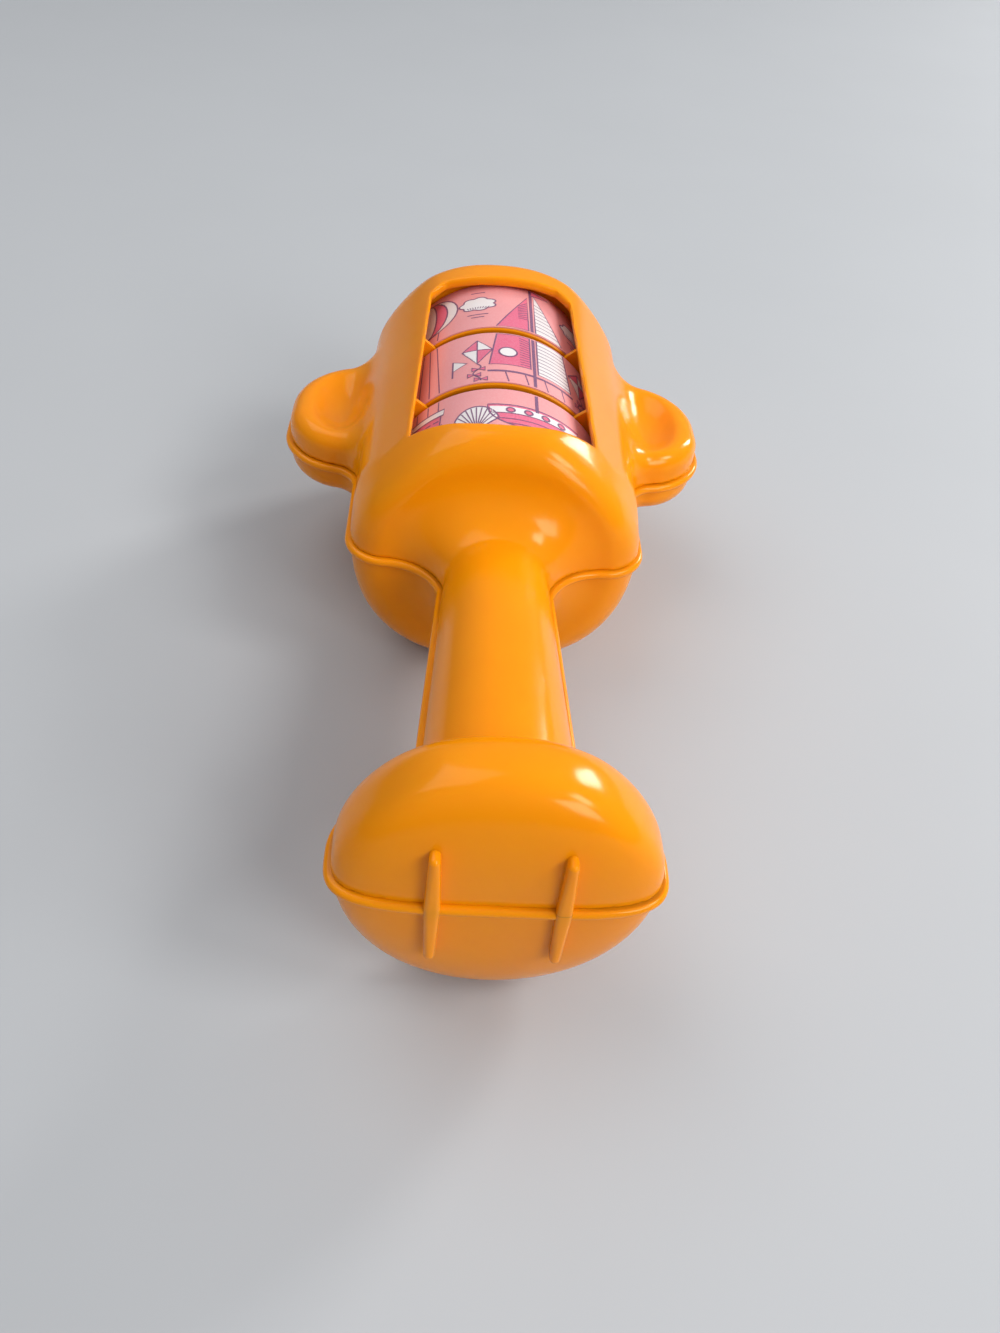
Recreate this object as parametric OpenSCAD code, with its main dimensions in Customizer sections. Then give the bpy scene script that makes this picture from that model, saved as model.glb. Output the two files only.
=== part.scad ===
// Face puzzle rattle: a two-shell moulded case with three picture drums that turn on one axle.
// Working frame: X across the ears, Y from the foot to the crown, Z out of the face, with the
// parting plane at Z = 0. The last module moves it to the library frame: the middle of the
// bounding box's lowest plane is the origin, and the toy lies on its back, face up.

/* [Foot] */
// Half width of the foot bulb, without its bead
foot_half_width = 27.4; // [20:0.1:34]
// Height of the foot bulb from the parting plane to the face side
foot_front_height = 23.6; // [16:0.1:30]
// Depth of the foot bulb from the parting plane to the back
foot_back_height = 32.4; // [18:0.1:33]
// Length of the bulb from its widest section to its flat end
foot_end_length = 9.5; // [4:0.1:12]
// Length of the bulb from its widest section towards the handle
foot_neck_length = 14.1; // [12:0.1:26]
// Squareness of the bulb's end in plan, 2 is an ellipse
foot_squareness = 3.8; // [2:0.1:5]
// Squareness of the bulb's end seen from the side
foot_rise = 2.7; // [2:0.1:4]
// Squareness of the bulb towards the handle
foot_neck_squareness = 2.5; // [2:0.1:4]
// Standing ribs: distance between the two centre lines
rib_spacing = 21.2; // [12:0.1:34]
// Width of a standing rib at the parting plane
rib_width = 2.8; // [1.6:0.1:4]
// Width of a standing rib at its ends
rib_end_width = 1.9; // [1:0.1:3]
// Length of a standing rib along the bulb's end
rib_length = 27.4; // [16:0.1:36]
// Rib position along the bulb's end, above the parting plane
rib_middle = -0.7; // [-6:0.1:6]
// How far a standing rib stands out past the bead
rib_proud = 0.3; // [0.1:0.1:1]
// Blend of the bulb into the handle
foot_blend = 4; // [1:0.5:8]

/* [Handle] */
// Half width of the handle, drawn on to the foot's widest section
handle_foot_half_width = 14.8; // [10:0.1:18]
// Half width of the handle where it meets the head
handle_head_half_width = 10.6; // [8:0.1:15]
// Handle height as a part of its half width
handle_roundness = 0.98; // [0.8:0.01:1.1]
// Distance from the foot's widest section to the head's flat end
handle_length = 77.9; // [64:0.1:110]

/* [Head] */
// Half width of the head, without its bead
head_half_width = 32; // [30:0.1:38]
// Height of the head from the parting plane to the face side
head_front_height = 28.7; // [28.3:0.1:34]
// Depth of the head from the parting plane to the back
head_back_height = 33.5; // [30:0.1:42]
// Length of the head from the flat chin end to the crown end
head_length = 92; // [90.5:0.1:110]
// Plan radius of the chin corners
chin_radius = 8; // [5:0.1:14]
// Radius of the chin edge on the back
back_radius = 9.5; // [6:0.1:14]
// Radius of the chin edge on the face side, the muzzle's brow
muzzle_radius = 7; // [5:0.1:8]
// Radius inside that edge
muzzle_inner_radius = 2.5; // [1:0.1:2.8]
// Distance from the muzzle's wall to the near drum
muzzle_cover = 3.9; // [3.6:0.1:5]
// Length before the head over which the section turns from the handle's to the head's
section_change = 23.4; // [16:0.1:30]
// Plan radius of the crown corners
crown_plan_radius = 14; // [8:0.1:18]
// Radius of the crown's front edge
crown_front_radius = 7; // [4:0.1:9]
// Radius of the crown's back edge
crown_back_radius = 12; // [6:0.1:16]
// Squareness of the foot's and handle's front sections, 2 is an ellipse
foot_section = 2.1; // [2:0.05:3]
// Squareness of the foot's and handle's back sections, 2 is an ellipse
foot_back_section = 1.95; // [1.8:0.05:3]
// Squareness of the head's front sections, 2 is an ellipse
front_squareness = 2.3; // [2:0.05:3]
// Squareness of the head's back sections, 2 is an ellipse
back_squareness = 2.35; // [2:0.05:3]
// Wall of both shells
wall = 2.4; // [1.6:0.1:2.6]
// Bead round the parting line: how far it stands out
bead_out = 1.3; // [0.8:0.1:2]
// Bead round the parting line: its height
bead_height = 1.9; // [1.2:0.1:3]
// Bead round the parting line: step of its rounded edges
bead_round = 0.45; // [0.2:0.05:0.5]
// Fillet where the bead turns from the head into an ear
ear_fillet = 6; // [2:0.1:8]

/* [Ears] */
// Ear tip from the middle plane, without its bead
ear_reach = 50; // [44:0.1:58]
// Distance from the head's flat end to the ear's near edge
ear_set = 31.6; // [26:0.1:40]
// Length of an ear along the head
ear_length = 39; // [30:0.1:44]
// Slant of the ear's near edge from its root to its tip
ear_slant = 2.6; // [0:0.1:5]
// Outline radius of the ear's near corner
ear_near_radius = 11.5; // [6:0.1:13]
// Outline radius of the ear's far corner
ear_far_radius = 18.5; // [10:0.1:19]
// Thickness of an ear on the face side
ear_front_height = 7.6; // [6.6:0.1:12]
// Thickness of an ear on the back
ear_back_height = 8.6; // [6:0.1:12]
// Edge radius of an ear on the face side
ear_front_edge = 3; // [1:0.1:4]
// Edge radius of an ear on the back
ear_back_edge = 4.6; // [2:0.1:6]
// Slant of the ear's far edge from its root to its tip
ear_far_slant = 3; // [0:0.1:5]
// How far an ear's root reaches into the head
ear_root = 8; // [4:0.5:10]
// Radius of the scoop that makes the ear's dish
dish_radius = 9.5; // [7:0.1:14]
// Stretch of the scoop along the head
dish_stretch = 1.75; // [1:0.05:2]
// Depth of the dish under the ear's rim
dish_depth = 3.5; // [1:0.1:3.6]
// Dish centre from the middle plane
dish_reach = 37; // [34:0.1:40]

/* [Window] */
// How far the case covers the near drum at the window's near edge
window_near_lip = 4.1; // [2:0.1:8]
// How far the case covers the far drum at the window's far edge
window_far_lip = 3.3; // [2:0.1:8]
// Half width of the window at its near edge
window_near_half_width = 19.8; // [15:0.1:22]
// Half width of the window at its far edge
window_far_half_width = 17.2; // [12:0.1:20]
// How far the window's near edge bows towards the foot
window_bow = 3.4; // [0:0.1:6]
// Corner cut of the window
window_corner = 3.4; // [0.5:0.1:5]
// Flat beside the window: distance of its plane from the axle
flat_distance = 30.4; // [29.6:0.1:33]
// Slope of that plane from the face, degrees
flat_slope = 46; // [35:1:55]
// Lean of that plane along the head, degrees
flat_lean = 0.8; // [0:0.1:2]

/* [Drums] */
// Radius over the picture bands
drum_radius = 25.6; // [22:0.1:25.8]
// Gap between two drums, for a partition plate and its play
drum_gap = 2.5; // [2:0.1:4]
// Distance from the head's flat end to the near drum
chin_depth = 6.5; // [5.5:0.1:10]
// Distance from the far drum to the crown's end
crown_depth = 9.7; // [6:0.1:14]
// Wall of a drum's barrel and ends
drum_wall = 1.8; // [1.2:0.1:3]
// Outer radius of a drum's hub tube
hub_radius = 4.6; // [4:0.1:8]
// Edge cut on a drum's rims
drum_chamfer = 0.3; // [0.2:0.1:1.2]
// Thickness of a picture band
band_thickness = 0.3; // [0.2:0.05:0.6]
// Bare rim of the barrel on each side of a picture band
band_margin = 0.35; // [0.3:0.05:2]
// Play between a pressed piece and its seat in a drum
seat_play = 0.03; // [0.01:0.01:0.1]

/* [Axle] */
// Radius of the axle
axle_radius = 2.5; // [2:0.1:3.5]
// Running play between the axle and a drum's hub, on the radius
axle_play = 0.08; // [0.03:0.01:0.1]
// Play between the axle and its saddles, on the radius
saddle_play = 0.05; // [0.02:0.01:0.1]
// Thickness of a saddle or partition plate
plate = 1.1; // [0.8:0.1:1.2]
// Play between an end drum and its saddle plate
end_play = 0.7; // [0.5:0.1:1]
// How far the axle reaches past a saddle plate
axle_end = 0.8; // [0.3:0.1:1.5]
// Radius of the opening that the partition plates leave round the axle on the face side
partition_bore = 21; // [14:0.5:22]
// How far a partition plate shows inside the window's edge
fin_reach = 2; // [0.5:0.1:3]
// Slope of that fin's edge from the drums up to the window's edge, degrees
fin_slope = 40; // [20:1:60]

/* [Rattle pellets] */
// Radius of a pellet
pellet_radius = 2; // [1:0.1:3]
// Play between a pellet and its drum's barrel
pellet_play = 0.1; // [0.05:0.05:0.3]
// Pellets in a drum
pellet_count = 5; // [1:1:7]

/* [Fineness] */
// Points round a body section
section_points = 36; // [24:4:64]

/* [Hidden] */
$fn = 64;
case_colour = [0.96, 0.62, 0.08];
drum_colour = [0.93, 0.57, 0.08];
band_colour = [0.94, 0.66, 0.67];
steel_colour = [0.72, 0.73, 0.75];
pellet_colour = [0.86, 0.84, 0.78];
far = 200;

foot_mid = foot_end_length;
head_start = foot_mid + handle_length;
head_end = head_start + head_length;
muzzle_start = head_start + chin_depth - muzzle_cover;
rib_out = bead_out + rib_proud;
y_low = -rib_out;
y_high = head_end + bead_out;
drum_length = (head_length - chin_depth - crown_depth - 2 * drum_gap) / 3;
drum_pitch = drum_length + drum_gap;
drum_mid = head_start + chin_depth + 1.5 * drum_length + drum_gap;
ear_near = head_start + ear_set;
ear_mid = ear_near + ear_length / 2;
window_near = head_start + chin_depth + window_near_lip;
window_far = head_end - crown_depth - window_far_lip;
barrel_radius = drum_radius - band_thickness;
hub_bore = axle_radius + axle_play;
saddle_bore = axle_radius + saddle_play;
end_saddle = drum_pitch + drum_length / 2 + end_play;
axle_half = end_saddle + plate + axle_end;
cap_radius = barrel_radius - drum_wall - seat_play;
pellet_ring = barrel_radius - drum_wall - pellet_radius - pellet_play;
pellet_step = 2.3 * asin(pellet_radius / pellet_ring);
outer_points = 4 * round(section_points / 4);
inner_points = 4 * round(section_points / 5);

// Helpers: smooth maximum, smooth step, superellipse arc and the inset of a rounded corner
function smax(a, b, k) = max(a, b) + pow(max(k - abs(a - b), 0), 2) / (4 * k);
function sstep(t) = t <= 0 ? 0 : t >= 1 ? 1 : t * t * (3 - 2 * t);
function arc(t, q) = pow(max(1 - pow(abs(t), q), 0), 1 / q);
function corner(e, r) = e >= r ? 0 : r - sqrt(max(r * r - (r - e) * (r - e), 0));
function bulb(y, o, q) = y < foot_mid ? arc((y - foot_mid) / (foot_end_length - o), q)
  : arc((y - foot_mid) / (foot_neck_length - o), foot_neck_squareness);

// Half width of the handle, straight between its two ends, for an inset o
function handle(y, o) = handle_foot_half_width
  + (handle_head_half_width - handle_foot_half_width) * (y - foot_mid) / handle_length - o;

// One outline from foot to head: a bulb, the handle, a fillet up to the chin's flat end and a
// rounded corner. size and q are the bulb's half size and squareness, half, r, ratio and start the
// head's half size, its corner, the handle's height and the flat end's place.
function outline(y, o, size, q, half, r, ratio, start) =
  let (
    neck = handle_head_half_width * ratio - o,
    fillet = half - r - handle_head_half_width * ratio + o,
    e = y - start - o
  )
  e >= 0 ? half - o - corner(e, r - o)
  : e > -fillet && y > foot_mid + foot_neck_length ?
    max(neck + fillet - sqrt(max(fillet * fillet - (fillet + e) * (fillet + e), 0)),
      handle(y, o) * ratio)
  : y < foot_mid ? (size - o) * bulb(y, o, q)
  : smax((size - o) * bulb(y, o, q), handle(y, o) * ratio, foot_blend);

// Half width, front height and back height of the section at y, for an inset o
function half_width(y, o) =
  outline(y, o, foot_half_width, foot_squareness, head_half_width, chin_radius, 1, head_start)
  - corner(head_end - o - y, crown_plan_radius - o);
function front_height(y, o) =
  outline(y, o, foot_front_height, foot_rise, head_front_height,
    o > 0 ? muzzle_inner_radius + o : muzzle_radius, handle_roundness, muzzle_start)
  - corner(head_end - o - y, crown_front_radius - o);
function back_height(y, o) =
  outline(y, o, foot_back_height, foot_rise, head_back_height, back_radius, handle_roundness, head_start)
  - corner(head_end - o - y, crown_back_radius - o);

// Section places along the toy, close together where the outline turns
function places(o) = let (
    a = foot_end_length - o, b = foot_neck_length - o,
    f = head_half_width - chin_radius - handle_head_half_width + o,
    s = head_start + o, m = muzzle_start + o, c = crown_plan_radius - o, h = head_end - o,
    r = max(chin_radius + head_start - m, o > 0 ? muzzle_inner_radius : muzzle_radius),
    neck = s - f, tail = foot_mid + b
  )
  concat(
    [for (i = [1 : 8]) foot_mid - a * cos(i * 90 / 8.6)],
    [for (i = [0 : 8]) foot_mid + b * sin(i * 9.6)],
    [for (i = [0 : 3]) tail + i * 1.4],
    [for (i = [1 : 6]) tail + 4.2 + (neck - tail - 4.2) * i / 6],
    [for (i = [1 : 8]) s - f * (1 - sin(i * 90 / 8))],
    [for (i = [1 : 6]) s + (m - s) * (1 - cos(i * 180 / 6)) / 2],
    [for (i = [1 : 5]) m + r * (1 - cos(i * 90 / 5))],
    [for (i = [1 : 4]) m + r + (h - c - m - r) * i / 4],
    [for (i = [1 : 6]) h - c * (1 - sin(i * 90 / 6))]
  );

function spow(v, p) = sign(v) * pow(abs(v), 2 / p);
function section(y, o, n) = [for (i = [0 : n - 1]) let (
    s = sin(360 * i / n), c = cos(360 * i / n),
    low = s > 0 ? foot_section : foot_back_section,
    p = low + ((s > 0 ? front_squareness : back_squareness) - low)
      * sstep((y - head_start + section_change) / section_change)
  ) [half_width(y, o) * spow(c, p), y, (s > 0 ? front_height(y, o) : back_height(y, o)) * spow(s, p)]];

// The body as one skin through its sections, for an inset o
module body(o, n) {
  ys = places(o);
  m = len(ys);
  polyhedron(
    points = [for (y = ys) each section(y, o, n)],
    faces = concat(
      [[for (i = [0 : n - 1]) n - 1 - i]],
      [for (j = [0 : m - 2], i = [0 : n - 1], k = [0, 1]) let (
          a = j * n + i, b = j * n + (i + 1) % n, c = a + n, d = b + n
        ) k == 0 ? [a, b, c] : [b, d, c]],
      [[for (i = [0 : n - 1]) (m - 1) * n + i]]
    ),
    convexity = 8
  );
}

// Outline of an ear in plan, from inside the head to its tip, for an inset o
module ear_plan(o) {
  hull() {
    translate([ear_reach - ear_near_radius, ear_near + ear_slant + ear_near_radius])
      circle(ear_near_radius - o, $fn = 28);
    translate([ear_reach - ear_far_radius, ear_near + ear_length - ear_far_radius])
      circle(ear_far_radius - o, $fn = 40);
    translate([head_half_width - ear_root, ear_near + o])
      square([1, ear_length - 2 * o - ear_far_slant]);
  }
}

// An ear from the parting plane to height h with a rounded edge r, for an inset o
module ear(h, r, o) {
  steps = 4;
  hull() {
    linear_extrude(0.1) ear_plan(o);
    for (j = [0 : steps])
      translate([0, 0, h - r + r * sin(90 * j / steps) - 0.1])
        linear_extrude(0.1) ear_plan(o + r * (1 - cos(90 * j / steps)));
  }
}

module ears(h, r, o) {
  for (s = [0, 1]) mirror([s, 0, 0]) ear(h, r, o);
}

// The plan of body and ears, with fillets at the ears' roots
module body_plan() {
  ys = places(0);
  polygon(concat([for (y = ys) [half_width(y, 0), y]],
    [for (i = [len(ys) - 1 : -1 : 0]) [-half_width(ys[i], 0), ys[i]]]));
}

module plan() {
  body_plan();
  offset(r = -ear_fillet, $fn = 32) offset(r = ear_fillet, $fn = 32) {
    intersection() {
      body_plan();
      translate([-far / 2, head_start + chin_radius]) square(far);
    }
    for (s = [0, 1]) mirror([s, 0]) ear_plan(0);
  }
}

// The bead under the parting plane, rounded in three steps
module bead() {
  levels = [0, bead_round, bead_height - bead_round, bead_height];
  for (k = [0 : 2])
    translate([0, 0, -levels[k + 1]])
      linear_extrude(levels[k + 1] - levels[k])
        offset(r = bead_out - (k == 1 ? 0 : bead_round), $fn = 24) plan();
}

// A plate across the inside of the head at y, with its face towards the foot at y
module plate_at(y) {
  translate([-far / 2, y, -far / 2]) cube([far, plate, far]);
}

// The four plates that stand across the head: two saddles at the ends, two partitions between
plate_places = [drum_mid - end_saddle - plate, drum_mid - (drum_pitch + plate) / 2,
  drum_mid + (drum_pitch - plate) / 2, drum_mid + end_saddle];

module along_axle(r, h) {
  translate([0, drum_mid, 0]) rotate([90, 0, 0]) cylinder(r = r, h = h, center = true);
}

function window_half_width(y) = window_near_half_width + (window_far_half_width - window_near_half_width)
  * (y - window_near) / (window_far - window_near);

module window_prism(grow) {
  c = window_corner;
  n = window_near_half_width - grow;
  f = window_far_half_width - grow;
  linear_extrude(far)
    polygon(concat(
      [for (i = [-4 : 4]) [n * i / 4, window_near + window_bow * i * i / 16]],
      [[f, window_far - c], [f - c, window_far], [c - f, window_far], [-f, window_far - c]]));
}

// Half of a solid, up from the parting plane or down from it
module half(up) {
  intersection() {
    children();
    translate([-far, -far, up ? 0 : -2 * far]) cube(2 * far);
  }
}

// The standing ribs, each tapered from the parting plane to its tip
module rib(up) {
  tip = rib_middle + (up ? rib_length : -rib_length) / 2;
  for (s = [-1, 1])
    translate([s * rib_spacing / 2, wall, 0])
      half(up)
        hull() {
          rotate([90, 0, 0]) cylinder(d = rib_width, h = wall + rib_out, $fn = 16);
          translate([0, 0, tip - sign(tip) * rib_end_width / 2])
            rotate([90, 0, 0]) cylinder(d = rib_end_width, h = wall + rib_out, $fn = 16);
        }
}

// The partition plates' edges that stand in the window, each rising from the drums to the wall
module fins() {
  for (s = [0, 1], i = [1, 2]) {
    tip = window_half_width(plate_places[i]) - fin_reach;
    rise = sqrt(max(drum_radius * drum_radius - tip * tip, 0));
    run = 2 * fin_reach;
    mirror([s, 0, 0])
      difference() {
        translate([0, plate_places[i] + plate, 0]) rotate([90, 0, 0]) linear_extrude(plate)
          polygon([[tip, 0], [tip + run, 0], [tip + run, rise + run * tan(fin_slope)], [tip, rise]]);
        along_axle(partition_bore, far);
      }
  }
}

// The slices that leave a flat beside the window, for an inset o
module flat_cuts(o) {
  for (s = [0, 1]) mirror([s, 0, 0])
    translate([0, drum_mid, 0]) rotate([0, flat_slope, 0])
      translate([0, 0, flat_distance - o]) rotate([flat_lean, 0, 0])
        translate([-far / 2, -far / 2, 0]) cube([far, far, far / 4]);
}

// The ears' front halves, with their dishes
module front_ears() {
  difference() {
    ears(ear_front_height, ear_front_edge, 0);
    for (s = [0, 1]) mirror([s, 0, 0])
      translate([dish_reach, ear_mid, ear_front_height - dish_depth + dish_radius])
        scale([1, dish_stretch, 1]) sphere(dish_radius, $fn = 48);
  }
}

module front_shell() {
  color(case_colour)
    difference() {
      union() {
        half(true)
          difference() {
            body(0, outer_points);
            flat_cuts(0);
          }
        front_ears();
        rib(true);
      }
      difference() {
        union() {
          difference() {
            body(wall, inner_points);
            flat_cuts(wall);
          }
          translate([0, 0, -1]) ears(ear_front_height - dish_depth - wall + 1, 1, wall);
        }
        for (i = [0 : 3]) difference() {
          plate_at(plate_places[i]);
          if (i == 1 || i == 2) {
            along_axle(partition_bore, far);
            window_prism(fin_reach);
          } else
            along_axle(saddle_bore, far);
        }
      }
      difference() {
        window_prism(0);
        fins();
      }
    }
}

module back_shell() {
  color(case_colour)
    difference() {
      union() {
        half(false) body(0, outer_points);
        mirror([0, 0, 1]) ears(ear_back_height, ear_back_edge, 0);
        rib(false);
        bead();
      }
      difference() {
        union() {
          body(wall, inner_points);
          translate([0, 0, 1]) mirror([0, 0, 1])
            ears(ear_back_height - wall + 1, ear_back_edge - wall / 2, wall);
        }
        for (i = [0 : 3]) difference() {
          plate_at(plate_places[i]);
          along_axle(saddle_bore, far);
          translate([-saddle_bore, 0, 0]) cube([2 * saddle_bore, far, far]);
        }
      }
    }
}

module axle() {
  color(steel_colour) along_axle(axle_radius, 2 * axle_half);
}

// A drum: a barrel with one closed end and a hub tube, open towards the crown. k is its place.
module drum(k) {
  l = drum_length;
  c = drum_chamfer;
  b = barrel_radius;
  color(drum_colour)
    translate([0, drum_mid + k * drum_pitch, 0]) rotate([90, 0, 0])
      rotate_extrude($fn = 96)
        polygon([
          [hub_bore, l / 2], [b - c, l / 2], [b, l / 2 - c], [b, c - l / 2], [b - c, -l / 2],
          [b - drum_wall, -l / 2], [b - drum_wall, l / 2 - drum_wall],
          [hub_radius, l / 2 - drum_wall], [hub_radius, drum_wall + seat_play - l / 2],
          [hub_bore, drum_wall + seat_play - l / 2]
        ]);
}

// The lid that closes a drum's open end
module drum_cap(k) {
  color(drum_colour)
    translate([0, drum_mid + k * drum_pitch + drum_length / 2, 0]) rotate([90, 0, 0])
      difference() {
        cylinder(r = cap_radius, h = drum_wall, $fn = 96);
        translate([0, 0, -1]) cylinder(r = hub_bore, h = drum_wall + 2);
      }
}

// The printed band round a drum's barrel
module drum_band(k) {
  h = drum_length - 2 * band_margin;
  color(band_colour)
    translate([0, drum_mid + k * drum_pitch + h / 2, 0]) rotate([90, 0, 0])
      difference() {
        cylinder(r = drum_radius, h = h, $fn = 96);
        translate([0, 0, -1]) cylinder(r = barrel_radius + seat_play, h = h + 2, $fn = 96);
      }
}

// The loose pellets in a drum, side by side where they settle
module drum_pellets(k) {
  color(pellet_colour)
    translate([0, drum_mid + k * drum_pitch, 0])
      for (i = [0 : pellet_count - 1])
        rotate([0, (i - (pellet_count - 1) / 2) * pellet_step, 0])
          translate([0, (i % 2 - 0.5) * pellet_radius, -pellet_ring]) sphere(pellet_radius, $fn = 32);
}

// From the working frame to the library frame
module placed() {
  translate([0, -(y_low + y_high) / 2, head_back_height]) children();
}

placed() front_shell();
placed() back_shell();
placed() axle();
placed() drum(1);  // top_drum
placed() drum_cap(1);  // top_cap
placed() drum_band(1);  // top_band
placed() drum_pellets(1);  // top_pellets
placed() drum(0);  // middle_drum
placed() drum_cap(0);  // middle_cap
placed() drum_band(0);  // middle_band
placed() drum_pellets(0);  // middle_pellets
placed() drum(-1);  // bottom_drum
placed() drum_cap(-1);  // bottom_cap
placed() drum_band(-1);  // bottom_band
placed() drum_pellets(-1);  // bottom_pellets
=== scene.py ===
import math

import bmesh
import bpy
import numpy as np
from bpy.props import FloatProperty, FloatVectorProperty, PointerProperty
from mathutils import Matrix, Vector


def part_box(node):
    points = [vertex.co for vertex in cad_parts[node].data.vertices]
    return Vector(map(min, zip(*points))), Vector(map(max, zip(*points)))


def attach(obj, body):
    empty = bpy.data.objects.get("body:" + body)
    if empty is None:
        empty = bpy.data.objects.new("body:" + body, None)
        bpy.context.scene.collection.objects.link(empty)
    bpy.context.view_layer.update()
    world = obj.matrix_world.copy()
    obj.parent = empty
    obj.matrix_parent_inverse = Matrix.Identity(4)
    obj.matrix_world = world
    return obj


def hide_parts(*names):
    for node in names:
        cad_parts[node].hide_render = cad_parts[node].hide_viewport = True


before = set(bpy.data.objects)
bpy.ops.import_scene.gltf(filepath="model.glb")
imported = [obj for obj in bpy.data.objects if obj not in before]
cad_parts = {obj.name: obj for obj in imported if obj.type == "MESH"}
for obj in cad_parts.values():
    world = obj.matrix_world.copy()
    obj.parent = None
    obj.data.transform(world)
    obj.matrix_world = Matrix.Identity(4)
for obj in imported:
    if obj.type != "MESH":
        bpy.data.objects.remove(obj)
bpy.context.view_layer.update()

bl_info = {
    "name": "Picture drum rattle",
    "version": (1, 0, 0),
    "blender": (4, 5, 0),
    "location": "View3D > Sidebar > Rattle",
    "description": "Dresses a moulded rattle case, its three picture drums and a plain studio",
    "category": "Object",
}

MM = 0.001
DRUMS = ("top", "middle", "bottom")
TINY = 1e-9
PROBE = 0.05  # millimetres to each side of a point over which a slope is taken
SMOOTH_BELOW = math.radians(38)  # edges with a smaller turn are shaded smooth


# Property helpers

def length(millimetres, text):
    """A length of the rattle, written in millimetres."""
    return FloatProperty(description=text, default=millimetres * MM, unit="LENGTH", precision=5)


def ratio(value, text):
    """A number without a unit."""
    return FloatProperty(description=text, default=value, precision=3)


def angle(degrees, text):
    """An angle, written in degrees."""
    return FloatProperty(description=text, default=math.radians(degrees), subtype="ANGLE")


def colour(rgb, text):
    """A surface colour in scene linear values."""
    return FloatVectorProperty(description=text, default=rgb, subtype="COLOR", min=0, max=1)


def named(group):
    """Gives each property of a group the name that it has in the code, in plain words."""
    for key, held in group.__annotations__.items():
        held.keywords["name"] = key.replace("_", " ").capitalize()
    return group


@named
class CaseSizes(bpy.types.PropertyGroup):
    """Lengths of the two case shells, with some edges softer than on the solids"""

    foot_half_width: length(27.4, "Half width of the foot bulb")
    foot_front_height: length(23.6, "Foot bulb from the parting plane to the face side")
    foot_back_height: length(32.4, "Foot bulb from the parting plane to the back")
    foot_end_length: length(9.5, "Bulb from its widest section to its flat end")
    foot_neck_length: length(14.1, "Bulb from its widest section towards the handle")
    foot_fillet: length(1.6, "Fillet between the bulb and the handle")
    rib_spacing: length(21.2, "Distance between the standing ribs")
    rib_width: length(2.8, "Rib width at the parting plane")
    rib_end_width: length(1.9, "Rib width at its tips")
    rib_length: length(27.4, "Rib length across the foot's end")
    rib_middle: length(-0.7, "Middle of the rib above the parting plane")
    rib_out: length(1.6, "How far a rib stands out of the foot's end")
    rib_round: length(0.85, "Edge radius of a rib")
    handle_foot_half_width: length(14.8, "Handle half width at the bulb's widest section")
    handle_head_half_width: length(10.6, "Handle half width at the head")
    handle_length: length(77.9, "Bulb's widest section to the head's flat end")
    head_half_width: length(32.0, "Half width of the head")
    head_front_height: length(28.7, "Head from the parting plane to the face side")
    head_back_height: length(33.5, "Head from the parting plane to the back")
    head_length: length(92.0, "Flat chin end to the crown's end")
    chin_radius: length(8.0, "Plan radius of the chin corners")
    back_radius: length(9.5, "Radius of the chin edge on the back")
    muzzle_radius: length(7.0, "Radius of the chin edge on the face side")
    muzzle_inner_radius: length(2.5, "Radius inside that edge")
    muzzle_cover: length(3.9, "Distance from the muzzle's wall to the near drum")
    section_change: length(23.4, "Length over which handle section turns into head section")
    crown_plan_radius: length(14.0, "Plan radius of the crown corners")
    crown_front_radius: length(7.0, "Radius of the crown's front edge")
    crown_back_radius: length(12.0, "Radius of the crown's back edge")
    wall: length(2.4, "Wall of both shells")
    least_wall: length(1.7, "Wall that stays under a softened edge")
    bead_out: length(1.3, "How far the bead stands out of the case")
    bead_height: length(1.9, "Height of the bead under the parting plane")
    bead_root: length(1.2, "How deep the bead sits in the wall")
    ear_reach: length(50.0, "Ear tip from the middle plane")
    ear_set: length(31.6, "Head's flat end to the ear's near edge")
    ear_length: length(39.0, "Length of an ear along the head")
    ear_slant: length(2.6, "Slant of the ear's near edge")
    ear_near_radius: length(11.5, "Outline radius of the near corner")
    ear_far_radius: length(18.5, "Outline radius of the far corner")
    ear_front_height: length(7.6, "Ear thickness on the face side")
    ear_back_height: length(8.6, "Ear thickness on the back")
    ear_front_edge: length(4.0, "Edge radius on the face side")
    ear_back_edge: length(4.6, "Edge radius on the back")
    ear_root: length(8.0, "How far an ear's root reaches into the head")
    ear_fillet: length(6.0, "Fillet between an ear and the head")
    dish_radius: length(9.5, "Radius of the scoop in an ear")
    dish_depth: length(3.5, "Depth of the scoop under the ear's rim")
    dish_reach: length(37.0, "Scoop's middle from the middle plane")
    dish_blend: length(1.6, "Softness of the scoop's rim")
    chin_depth: length(6.5, "Head's flat end to the near drum")
    crown_depth: length(9.7, "Far drum to the crown's end")
    drum_gap: length(2.5, "Gap between two drums")
    window_near_lip: length(4.1, "Case over the near drum")
    window_far_lip: length(3.3, "Case over the far drum")
    window_near_half_width: length(19.8, "Half width at the near edge")
    window_far_half_width: length(17.2, "Half width at the far edge")
    window_bow: length(3.4, "Bow of the near edge towards the foot")
    window_corner: length(3.4, "Cut corner at the far edge")
    window_edge: length(0.9, "Edge radius round the window")
    flat_distance: length(30.4, "Flat beside the window, from the axle")
    flat_edge: length(1.4, "Edge radius of that flat")
    flat_end_edge: length(6.5, "Edge radius of that flat at the muzzle")
    flat_fade: length(12.0, "Length over which the edge softens")
    plate: length(1.1, "Thickness of a saddle or partition plate")
    end_play: length(0.7, "Play between an end drum and its saddle plate")
    saddle_bore: length(2.55, "Bore radius of a saddle plate")
    partition_bore: length(21.0, "Bore radius of a partition plate")
    fin_reach: length(2.0, "How far a partition shows inside the window")


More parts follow.
